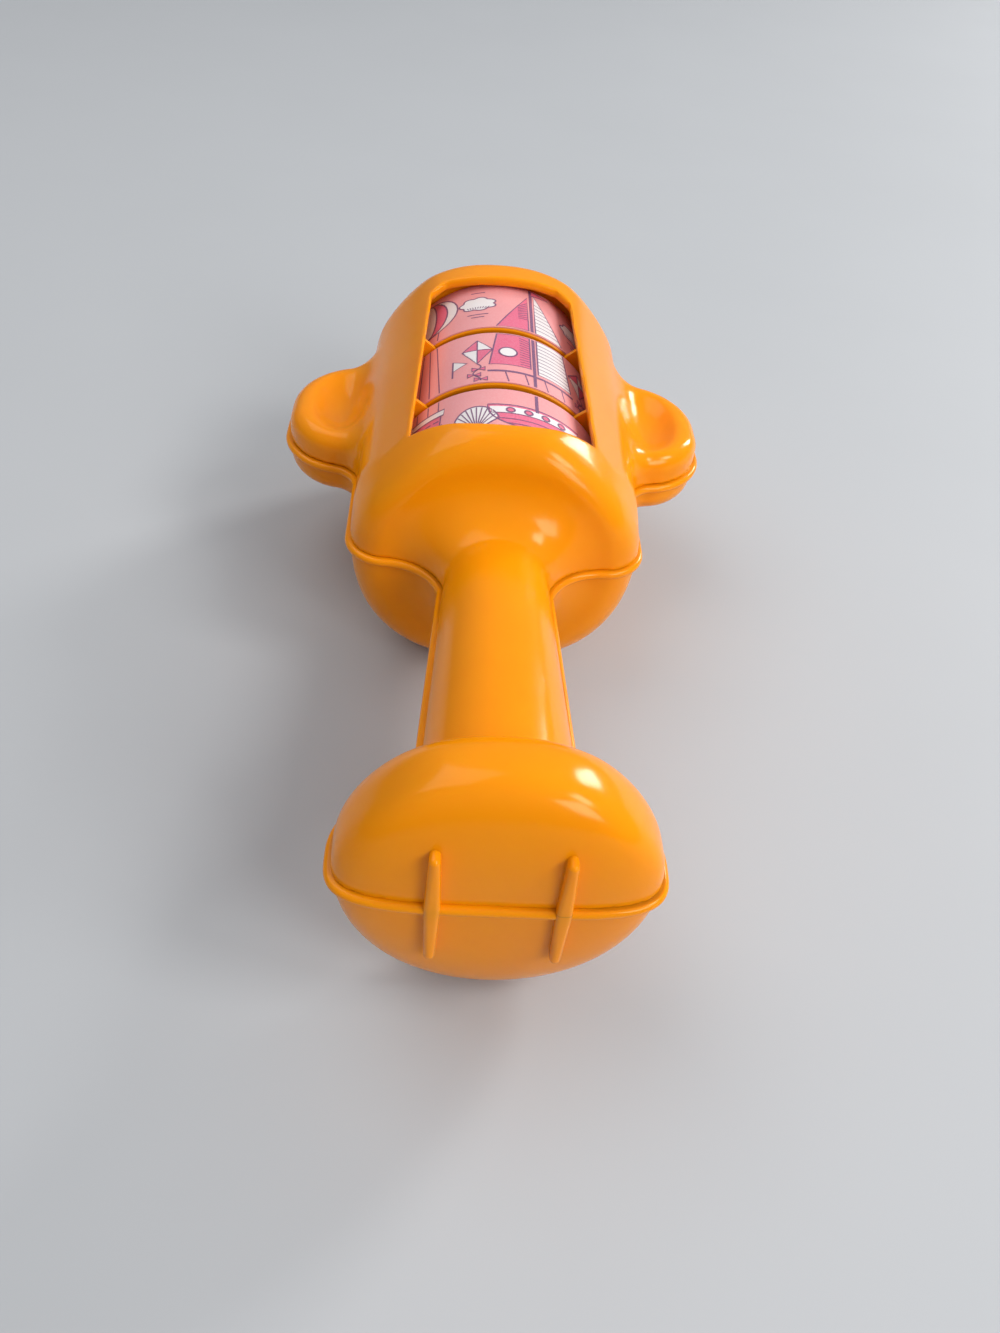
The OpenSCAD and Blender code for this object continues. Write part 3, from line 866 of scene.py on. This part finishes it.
def plastic(name, main, deep, scuff, gloss, scuffs, grime=None):
    """Moulded plastic with mottled colour, worn gloss, scratches, scuffs and an optional mask that darkens
    its creases and gaps with painted shade and grime.
    """
    if name in bpy.data.materials:
        return bpy.data.materials[name]
    scuff_darkness, wear = 0.85, 0.1
    made, nodes, shader, where = new_material(name)
    surface = nodes.add("ShaderNodeGroup", {"Coordinates": where}, node_tree=moulded_group()).outputs
    specks = nodes.add("ShaderNodeGroup", {"Coordinates": where, "Share": scuffs}, node_tree=speck_group())
    tone = nodes.mix(surface["Mottle"], opaque(main), opaque(deep))
    tone = nodes.mix(nodes.times(specks.outputs["Mask"], scuff_darkness), tone, opaque(scuff))
    # Painted shade: the optional mask darkens creases and drum gaps towards the scuff colour, where shade
    # falls
    if grime:
        tone = nodes.mix(grime(nodes, where), tone, opaque(scuff))
    nodes.feed(shader, {
        "Base Color": tone,
        "Roughness": nodes.math("ADD", nodes.times(surface["Dullness"], wear), gloss),
        "IOR": 1.48,
        "Specular IOR Level": 0.3,
        "Specular Tint": (1.0, 0.84, 0.6, 1.0),
        "Subsurface Weight": 0.25,
        "Subsurface Radius": (1.0, 0.7, 0.3),
        "Subsurface Scale": 2.5 * MM,
    })
    set_bump(nodes, shader, surface["Height"], strength=0.35, distance=0.4 * MM)
    return made


def printed_film(name, ink):
    """Printed film: slightly uneven ink under a semi-gloss skin."""
    if name in bpy.data.materials:
        return bpy.data.materials[name]
    gloss, wear, mottling, whiteness = 0.34, 0.12, 0.6, 0.1
    made, nodes, shader, where = new_material(name)
    given = {"Coordinates": where, "Ripple": 0.6, "Grain": 2.0}
    surface = nodes.add("ShaderNodeGroup", given, node_tree=moulded_group()).outputs
    dots = nodes.ramp(nodes.noise(where, scale=2600, detail=1), 0.35, 0.7)
    pale = [min(1, (1 - whiteness) * c + whiteness) for c in ink]
    tone = nodes.mix(dots, opaque(ink), opaque(pale))
    tone = nodes.mix(nodes.times(surface["Mottle"], mottling), tone, opaque(ink, 0.86))
    rough = nodes.math("ADD", nodes.times(surface["Dullness"], wear), gloss)
    nodes.feed(shader, {"Base Color": tone, "Roughness": rough})
    set_bump(nodes, shader, surface["Height"], strength=0.2, distance=0.3 * MM)
    return made


def drawn_steel(name, main):
    """Drawn wire with fine lines along its length."""
    made, nodes, shader, where = new_material(name)
    pulled = nodes.vector("MULTIPLY", where, (1, 0.02, 1))[0]
    lines = nodes.noise(pulled, scale=6000)
    tone = nodes.mix(lines, opaque(main), opaque(main, 0.7))
    nodes.feed(shader, {"Base Color": tone, "Roughness": nodes.ramp(lines, -1.2, 2.4), "Metallic": 1.0})
    set_bump(nodes, shader, lines, strength=0.15, distance=0.1 * MM)
    return made


def case_plastic(scene):
    """The plastic of both shells."""
    f = scene.rattle_finishes
    # The bead crease gets a thin dark line, partly grime and partly painted shade
    return plastic("Orange plastic", f.case, f.case_deep, f.scuff, gloss=0.14, scuffs=0.12, grime=seam_grime_and_shade)


def drum_plastic(scene):
    """The plastic of the drums and their caps."""
    f = scene.rattle_finishes
    deep = [0.85 * c for c in f.drum]
    # The drums' end faces get painted shade in the gaps between them
    return plastic("Drum plastic", f.drum, deep, f.scuff, gloss=0.3, scuffs=0.05, grime=gap_painted_shade)


def pellet_plastic(scene):
    """The plastic of the loose pellets."""
    f = scene.rattle_finishes
    deep = [0.9 * c for c in f.pellet]
    return plastic("Pellet plastic", f.pellet, deep, f.scuff, gloss=0.5, scuffs=0.0)


def dress(node, material):
    """Gives a solid from the frame a finished material."""
    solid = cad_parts[node]
    solid.data.materials.clear()
    solid.data.materials.append(material)


# Print on the drums

class Sheet:
    """Flat print of one drum, as millimetres round and along it, wrapped on to its band."""

    slice_width = 1.2
    film = 0.02

    def __init__(self, radius, half, inks):
        self.radius, self.half = radius, half
        self.inks = inks
        self.work = bmesh.new()
        self.at = 0

    def fill(self, ink, points, layer=1):
        """A filled shape, cut in strips so that it can follow the drum."""
        piece = bmesh.new()
        flat = [(x + self.at, max(-self.half, min(self.half, y))) for x, y in points]
        piece.faces.new([piece.verts.new((x, y, 0)) for x, y in flat])
        low, high = min(x for x, _ in flat), max(x for x, _ in flat)
        for k in range(math.ceil(low / self.slice_width), math.ceil(high / self.slice_width)):
            parts, cut = piece.verts[:] + piece.edges[:] + piece.faces[:], (k * self.slice_width, 0, 0)
            bmesh.ops.bisect_plane(piece, geom=parts, plane_co=cut, plane_no=(1, 0, 0))
        bmesh.ops.triangulate(piece, faces=piece.faces[:])
        place = {}
        for vert in piece.verts:
            place[vert] = self.work.verts.new(self.wrapped(vert.co.x, vert.co.y, layer))
        for face in piece.faces:
            if face.calc_area() > TINY:
                turned = [place[v] for v in face.verts]
                made = self.work.faces.new(turned if face.normal.z > 0 else turned[::-1])
                made.material_index = self.inks.index(ink)
        piece.free()

    def wrapped(self, across, along, layer):
        """A point of the flat print, laid on the drum's band."""
        radius = self.radius + self.film * layer
        turn = across / self.radius
        return Vector((radius * math.sin(turn), along, radius * math.cos(turn)))

    def line(self, points, width=0.42, closed=False, layer=2):
        """A drawn line of even width."""
        half = width / 2
        points = [Vector(p) for p in points]
        count = len(points)
        left, right = [], []
        for i, point in enumerate(points):
            before = points[i - 1] if closed or i else point
            after = points[(i + 1) % count] if closed or i < count - 1 else point
            side = (after - before).orthogonal().normalized()
            left.append(point + half * side)
            right.append(point - half * side)
        for i in range(count if closed else count - 1):
            j = (i + 1) % count
            self.fill("plum", [left[i], left[j], right[j], right[i]], layer)

    def shape(self, ink, points, layer=1):
        """A filled shape with a drawn outline."""
        self.fill(ink, points, layer)
        self.line(points, closed=True, layer=layer + 1)

    def build(self, name, origin):
        """The finished print as an object in metres."""
        mesh = bpy.data.meshes.new(name)
        for vert in self.work.verts:
            vert.co = vert.co * MM + origin
        self.work.to_mesh(mesh)
        self.work.free()
        mesh.shade_smooth()
        made = bpy.data.objects.new(name, mesh)
        bpy.context.scene.collection.objects.link(made)
        return made


def turned(points, place, tilt):
    """Points turned by a tilt and moved to a place."""
    c, s = math.cos(tilt), math.sin(tilt)
    return [(place[0] + x * c - y * s, place[1] + x * s + y * c) for x, y in points]


def oval_points(middle, width, height, tilt=0.0, count=28):
    """Points of an ellipse of half width and half height."""
    turns = [math.tau * k / count for k in range(count)]
    return turned([(width * math.cos(t), height * math.sin(t)) for t in turns], middle, tilt)


def leaf_points(root, reach, width, tilt):
    """Points of a pointed leaf from its root."""
    count = 12
    share = [k / count for k in range(count + 1)]
    edge = [(reach * t, width * math.sin(math.pi * t) ** 0.8) for t in share]
    edge += [(x, -y) for x, y in edge[-2:0:-1]]
    return turned(edge, root, tilt)


def bloom(sheet):
    """An open flower."""
    middle, petals, seeds = 1.5, 6, 5
    sheet.line([(0, -4), (0.2, -11)], width=1.0, layer=1)
    for k in range(petals):
        turn = math.tau * k / petals + 0.26
        place = (4.5 * math.cos(turn), middle + 4.5 * math.sin(turn))
        sheet.shape("rose", oval_points(place, 3.3, 2.1, turn))
        sheet.line([(2.6 * math.cos(turn), middle + 2.6 * math.sin(turn)), place], width=0.25)
    sheet.shape("cream", oval_points((0, middle), 2.5, 2.5), layer=3)
    for k in range(seeds):
        turn = math.tau * k / seeds
        place = (1.2 * math.cos(turn), middle + 1.2 * math.sin(turn))
        sheet.fill("plum", oval_points(place, 0.28, 0.28, count=10), layer=5)


def stem(sheet):
    """A stem with two hatched leaves."""
    sheet.line([(0.2, 11), (-0.3, 4), (0.2, -3), (0, -11)], width=1.0)
    leaf = 10.5
    for root, tilt in (((0, -4.5), 0.62), ((0, -7.5), math.pi - 0.55)):
        sheet.shape("rose", leaf_points(root, leaf, 2.7, tilt))
        sheet.line(turned([(0, 0), (9, 0)], root, tilt), width=0.3)
        for k in range(2, 8):
            at = 1.15 * k
            for side in (-1, 1):
                vein = [(at, 0), (at + 1.1, side * 1.9 * math.sin(math.pi * at / leaf))]
                sheet.line(turned(vein, root, tilt), width=0.22)


def pot(sheet):
    """A flower pot with a striped band."""
    sheet.line([(0, 11), (0, 4)], width=1.0)
    sheet.shape("rose", [(-6, 2.5), (6, 2.5), (4.4, -8.5), (-4.4, -8.5)])
    sheet.fill("cream", [(-5.6, -0.4), (5.6, -0.4), (5.1, -4), (-5.1, -4)], 2)
    for k in range(-5, 6):
        sheet.line([(k - 0.4, -4), (k + 0.4, -0.4)], width=0.28, layer=3)
    sheet.shape("rose", [(-7.2, 5), (7.2, 5), (7, 2.3), (-7, 2.3)], layer=3)


def balloon(sheet):
    """A gored balloon."""
    sheet.shape("cream", oval_points((0, 1), 8.2, 8.6))
    for ink, width, layer in (("rose", 5.4, 2), ("cream", 2.2, 4)):
        sheet.shape(ink, oval_points((0, 1), width, 8.5), layer)
    for x in (-3.2, 3.2):
        sheet.line([(x, -7), (x * 0.9, -11)], width=0.3)


def ropes(sheet):
    """Ropes with small pennants."""
    for x, low in ((-3, -4.4), (-1, -1.6), (1, 1.6), (3, 4.4)):
        sheet.line([(x, 11), (low, -11)], width=0.3)
    for x, y in ((-8, 4), (7.6, -2)):
        sheet.shape("cream", [(x, y + 2.2), (x + 3.4, y), (x, y - 2.2)])
        sheet.line([(x, y + 2.2), (x, y - 5)], width=0.4)


def basket(sheet):
    """A woven basket."""
    sheet.shape("rose", [(-5.2, 5), (5.2, 5), (4.4, -6.5), (-4.4, -6.5)])
    for k in range(5):
        y = 3 - 2.1 * k
        for x in range(-4, 5, 2):
            sheet.line([(x - 0.8 + k % 2, y), (x + 0.6 + k % 2, y)], width=0.5)
    sheet.shape("cream", [(-6, 7), (6, 7), (5.8, 4.8), (-5.8, 4.8)], layer=3)
    for x in (-4.4, -1.6, 1.6, 4.4):
        sheet.line([(x, 11), (x, 7)], width=0.3)


def hatch(sheet, low, high, count, width=0.25):
    """Fine lines between two edges, each given by its two ends."""
    for k in range(count):
        share = (k + 0.5) / count
        ends = [[a + (b - a) * share for a, b in zip(*edge)] for edge in (low, high)]
        sheet.line(ends, width=width, layer=3)


def sails(sheet):
    """The upper part of two sails under a pennant."""
    sheet.line([(0, 11), (0, -11)], width=0.8)
    sheet.shape("cream", [(0.9, 8.5), (8.4, -11), (0.9, -11)])
    sheet.shape("rose", [(-0.9, 6.5), (-0.9, -11), (-8.8, -11)])
    sheet.shape("rose", [(0.2, 11), (5.2, 9.6), (0.2, 8.4)], layer=3)
    hatch(sheet, ((0.9, 5), (0.9, -10)), ((2.6, 4), (8, -10)), 8)
    hatch(sheet, ((-0.9, 4), (-0.9, -6)), ((-3.4, 1), (-3.4, -6)), 9, 0.22)


def mast(sheet):
    """The lower part of two sails on a boom."""
    sheet.line([(0, 11), (0, -11)], width=0.8)
    sheet.shape("cream", [(0.9, 11), (8.4, 11), (10, -5), (0.9, -5)])
    sheet.shape("rose", [(-0.9, 11), (-8.8, 11), (-10.6, -3.5), (-0.9, -3.5)])
    hatch(sheet, ((0.9, 10), (0.9, -4.6)), ((8.4, 10), (9.8, -4.6)), 9)
    hatch(sheet, ((-3.4, 10.6), (-3.4, -3)), ((-0.9, 9.6), (-0.9, -3)), 12, 0.22)
    sheet.shape("cream", oval_points((-6.2, 2.4), 2.1, 2.1), layer=3)
    sheet.line([(-11, -6.5), (10.6, -6.5)], width=0.8)
    for x in (-7, -2.4, 2.4, 7):
        sheet.line([(x, -6.5), (x + 0.8, -11)], width=0.3)


def hull(sheet):
    """A planked boat over waves."""
    sheet.line([(0, 11), (0, 4)], width=0.8)
    deck = [(-11, 5), (11, 5)]
    turns = np.linspace(0.1, math.pi - 0.1, 17)
    keel = [(11 * math.cos(t), 5 - 9 * math.sin(t) ** 0.8) for t in turns]
    sheet.shape("rose", deck + keel)
    sheet.fill("cream", [(-10.6, 4.2), (10.6, 4.2), (10, 1.6), (-10, 1.6)], 2)
    for y, x in ((1.6, 10), (-0.6, 9), (-2.4, 7)):
        sheet.line([(-x, y), (x, y)], width=0.3, layer=3)
    for x in (-6, -2, 2, 6):
        sheet.shape("rose", oval_points((x, 2.9), 0.9, 0.9, count=14), layer=4)
    for row in range(3):
        level, shift = -5.6 - 2.1 * row, 2 * row
        wave = [(x, level + 0.7 * math.sin(1.3 * x + shift)) for x in np.linspace(-12, 12, 34)]
        sheet.line(wave, width=0.4)


def cloud(sheet):
    """A scalloped cloud with hatched shade."""
    edge, count = [], 48
    for k in range(count):
        turn = math.tau * k / count
        swell = 0.84 + 0.2 * abs(math.sin(3.5 * turn))
        edge.append((4.6 * swell * math.cos(turn), 1 + 3.4 * swell * math.sin(turn)))
    sheet.shape("cream", edge)
    hatch(sheet, ((-3, -0.6), (3.2, -0.6)), ((-2.6, -1.5), (2.6, -1.5)), 9, 0.2)
    for y, x in ((-4.6, 2.6), (-6, 1.6), (7, 1.8)):
        sheet.line([(-x, y), (x, y)], width=0.35)


def kite(sheet):
    """A kite with a tail of bows."""
    sheet.shape("rose", [(0, 8), (3.6, 3.4), (0, -3), (-3.6, 3.4)])
    sheet.fill("cream", [(0, 8), (3.6, 3.4), (0, 3.4)], 2)
    sheet.fill("cream", [(0, 3.4), (0, -3), (-3.6, 3.4)], 2)
    sheet.line([(0, 8), (0, -3)], width=0.3, layer=3)
    sheet.line([(-3.6, 3.4), (3.6, 3.4)], width=0.3, layer=3)
    tail = [(0.9 * math.sin(1.1 * t), -3 - t) for t in np.linspace(0, 7.5, 16)]
    sheet.line(tail, width=0.35)
    for k in (5, 10, 14):
        x, y = tail[k]
        for side in (-1, 1):
            sheet.shape("rose", [(x, y), (x + 1.5 * side, y + 0.8), (x + 1.5 * side, y - 0.8)], layer=3)


def shell(sheet):
    """A ribbed sea shell."""
    turns = np.linspace(0.25, math.pi - 0.25, 21)
    fan = [(5 * math.cos(t), -2 + 6.4 * math.sin(t)) for t in turns]
    sheet.shape("cream", [(0.9, -4.4), *fan, (-0.9, -4.4)])
    for x, y in fan[2:-1:2]:
        tip = (0.94 * x, -2 + 0.94 * (y + 2))
        sheet.line([(0.12 * x, -3.8), tip], width=0.28, layer=3)
    sheet.shape("rose", [(-2, -3.8), (2, -3.8), (1.3, -5.6), (-1.3, -5.6)], layer=3)
    for x in (-4.4, 4.4):
        sheet.shape("rose", oval_points((x, -7.2), 1.1, 0.8, count=14))


# Three pictures for each drum, and a small one that stands between them
PICTURES = {
    "top": (bloom, balloon, sails, cloud),
    "middle": (stem, ropes, mast, kite),
    "bottom": (pot, basket, hull, shell),
}
BETWEEN = 3
ROUND_THE_DRUM = (0, 1, 2, 0, 2, 1)
FACING = 2  # place in that round which looks out of the window
PRINT_SHIFT = 7.5  # millimetres round the drum from the window's middle to that picture


# Stage

# Colours of the sky at the horizon and higher up, and the rise at which the second is reached
SKY_LOW, SKY_HIGH, SKY_RISE = (0.13, 0.135, 0.15), (0.43, 0.45, 0.48), 0.7
LAMP_AIM = Vector((0, 0.02, 0.03))
# Each lamp's name, turn from +Y towards +X and rise in degrees, distance and size in metres, power in watts
LAMPS = (
    ("key", 138, 32, 1.1, (0.45, 0.45), 5.1),
    ("side", 110, 45, 1.1, (0.3, 0.3), 3.6),
    ("window", 50, 24, 1.3, (0.24, 0.45), 7.5),
    ("fill", -60, 62, 1.1, (0.8, 0.8), 3.6),
)


# Operators

def settle_piece(made, body, node, material):
    """Lets a piece stand for a solid and ride with its body."""
    made.data.materials.append(material)
    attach(made, body)
    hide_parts(node)


def build_shell(scene, front, name, node):
    """One half of the case with its rib halves and inner plates, and the bead on the back half."""
    form, steps = CaseForm(scene), scene.rattle_steps
    work = Patchwork()
    field = form.front_shell if front else form.back_shell
    work.add(*moulded_skin(field, case_lines(form, steps, front)))
    if not front:
        add_bead(work, form, steps.path / MM)
    add_ribs(work, form, front)
    add_plates(work, form, front)
    made = outward(work.build(name, form.origin))
    settle_piece(made, "case", node, case_plastic(scene))


class RATTLE_OT_front_shell(bpy.types.Operator):
    """Builds the face half of the case with its window, ears, rib halves and inner plates"""

    bl_idname = "rattle.front_shell"
    bl_label = "Front shell"

    def execute(self, context):
        build_shell(context.scene, True, "front_moulding", "front_shell")
        return {"FINISHED"}


class RATTLE_OT_back_shell(bpy.types.Operator):
    """Builds the back half of the case with its bead, ears, rib halves and inner plates"""

    bl_idname = "rattle.back_shell"
    bl_label = "Back shell"

    def execute(self, context):
        build_shell(context.scene, False, "back_moulding", "back_shell")
        return {"FINISHED"}


class RATTLE_OT_drums(bpy.types.Operator):
    """Finishes the drums, their caps, the axle and the pellets"""

    bl_idname = "rattle.drums"
    bl_label = "Drums and axle"

    def execute(self, context):
        for row in DRUMS:
            dress(f"{row}_drum", drum_plastic(context.scene))
            dress(f"{row}_cap", drum_plastic(context.scene))
            dress(f"{row}_pellets", pellet_plastic(context.scene))
        dress("axle", drawn_steel("Drawn steel", context.scene.rattle_finishes.steel))
        return {"FINISHED"}


class RATTLE_OT_pictures(bpy.types.Operator):
    """Prints the three bands with plain mix and match pictures"""

    bl_idname = "rattle.pictures"
    bl_label = "Picture bands"

    def execute(self, context):
        finishes = context.scene.rattle_finishes
        inks = {}
        for name in ("rose", "plum", "cream"):
            inks[name] = printed_film(f"Print {name}", getattr(finishes, name))
        for row in DRUMS:
            dress(f"{row}_band", printed_film("Print ground", finishes.ground))
            low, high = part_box(f"{row}_band")
            sheet = Sheet(high.x / MM, (high.y - low.y) / 2 / MM, list(inks))
            turn = math.tau * sheet.radius / len(ROUND_THE_DRUM)
            for k, picture in enumerate(ROUND_THE_DRUM):
                sheet.at = PRINT_SHIFT + (k - FACING) * turn
                PICTURES[row][picture](sheet)
                sheet.at = PRINT_SHIFT + (k - FACING + 0.5) * turn
                PICTURES[row][BETWEEN](sheet)
            made = sheet.build(f"{row}_print", (low + high) / 2)
            for ink in inks.values():
                made.data.materials.append(ink)
            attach(made, f"{row}_drum_body")
        return {"FINISHED"}


class RATTLE_OT_stage(bpy.types.Operator):
    """Sets the floor, the soft light and the camera"""

    bl_idname = "rattle.stage"
    bl_label = "Studio"

    def execute(self, context):
        self.floor(context.scene)
        self.light(context.scene)
        self.camera(context.scene)
        return {"FINISHED"}

    def floor(self, scene):
        """A plain pale floor under the rattle."""
        reach = 3.0
        corners = [(-reach, -reach, 0), (reach, -reach, 0), (reach, reach, 0), (-reach, reach, 0)]
        mesh = bpy.data.meshes.new("floor")
        mesh.from_pydata(corners, [], [(0, 1, 2, 3)])
        made = bpy.data.objects.new("floor", mesh)
        scene.collection.objects.link(made)
        material, nodes, shader, where = new_material("Pale floor")
        soft = nodes.noise(where, scale=14, detail=3)
        pale = scene.rattle_finishes.floor
        tone = nodes.mix(soft, opaque(pale), opaque(pale, 0.96))
        nodes.feed(shader, {"Base Color": tone, "Roughness": 0.7})
        mesh.materials.append(material)

    def light(self, scene):
        """A soft sky that is darker low down, and four area lamps."""
        scene.view_settings.view_transform = "Standard"
        world = bpy.data.worlds.new("Studio")
        world.use_nodes = True
        nodes = Nodes(world.node_tree)
        way = nodes.add("ShaderNodeTexCoord").outputs["Generated"]
        up = nodes.add("ShaderNodeSeparateXYZ", {0: way}).outputs["Z"]
        sky = nodes.mix(nodes.ramp(up, 0.0, SKY_RISE), opaque(SKY_LOW), opaque(SKY_HIGH))
        nodes.feed(world.node_tree.nodes["Background"], {"Color": sky})
        scene.world = world
        for name, turn, rise, away, size, power in LAMPS:
            turn, rise = math.radians(turn), math.radians(rise)
            level = math.cos(rise)
            way = Vector((math.sin(turn) * level, math.cos(turn) * level, math.sin(rise)))
            lamp = bpy.data.lights.new(name, "AREA")
            lamp.shape = "RECTANGLE"
            lamp.size, lamp.size_y = size
            lamp.energy = power
            made = bpy.data.objects.new(name, lamp)
            made.location = LAMP_AIM + away * way
            made.rotation_euler = way.to_track_quat("Z", "Y").to_euler()
            scene.collection.objects.link(made)

    def camera(self, scene):
        """The camera, turned by its yaw, pitch and roll."""
        given = scene.rattle_camera
        p, y, r = given.pitch, given.yaw, given.roll
        ahead = Vector((math.sin(y) * math.cos(p), math.cos(y) * math.cos(p), -math.sin(p)))
        level = Vector((math.cos(y), -math.sin(y), 0))
        down = ahead.cross(level)
        right = math.cos(r) * level + math.sin(r) * down
        down = math.cos(r) * down - math.sin(r) * level
        turn = Matrix((right, -down, -ahead)).transposed()
        data = bpy.data.cameras.new("camera")
        data.lens = given.lens
        data.clip_start = 0.01
        made = bpy.data.objects.new("camera", data)
        made.matrix_world = Matrix.Translation(given.place) @ turn.to_4x4()
        scene.collection.objects.link(made)
        scene.camera = made


class RATTLE_PT_panel(bpy.types.Panel):
    """Lists the steps that dress the rattle"""

    bl_label = "Rattle"
    bl_idname = "RATTLE_PT_panel"
    bl_space_type = "VIEW_3D"
    bl_region_type = "UI"
    bl_category = "Rattle"

    def draw(self, context):
        for step in STEPS:
            self.layout.operator(step.bl_idname)
        self.layout.prop(context.scene.rattle_finishes, "case")


GROUPS = {
    "rattle_case": CaseSizes,
    "rattle_curves": CaseCurves,
    "rattle_steps": MeshSteps,
    "rattle_finishes": Finishes,
    "rattle_camera": CameraPlace,
}
STEPS = (RATTLE_OT_stage, RATTLE_OT_front_shell, RATTLE_OT_back_shell, RATTLE_OT_drums, RATTLE_OT_pictures)


def register():
    for made in (*GROUPS.values(), *STEPS, RATTLE_PT_panel):
        bpy.utils.register_class(made)
    for name, group in GROUPS.items():
        setattr(bpy.types.Scene, name, PointerProperty(type=group))


def unregister():
    for name in GROUPS:
        delattr(bpy.types.Scene, name)
    for made in (RATTLE_PT_panel, *STEPS[::-1], *list(GROUPS.values())[::-1]):
        bpy.utils.unregister_class(made)


def main():
    register()
    bpy.ops.rattle.stage()
    bpy.ops.rattle.front_shell()
    bpy.ops.rattle.back_shell()
    bpy.ops.rattle.drums()
    bpy.ops.rattle.pictures()
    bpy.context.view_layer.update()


if __name__ == "__main__":
    main()
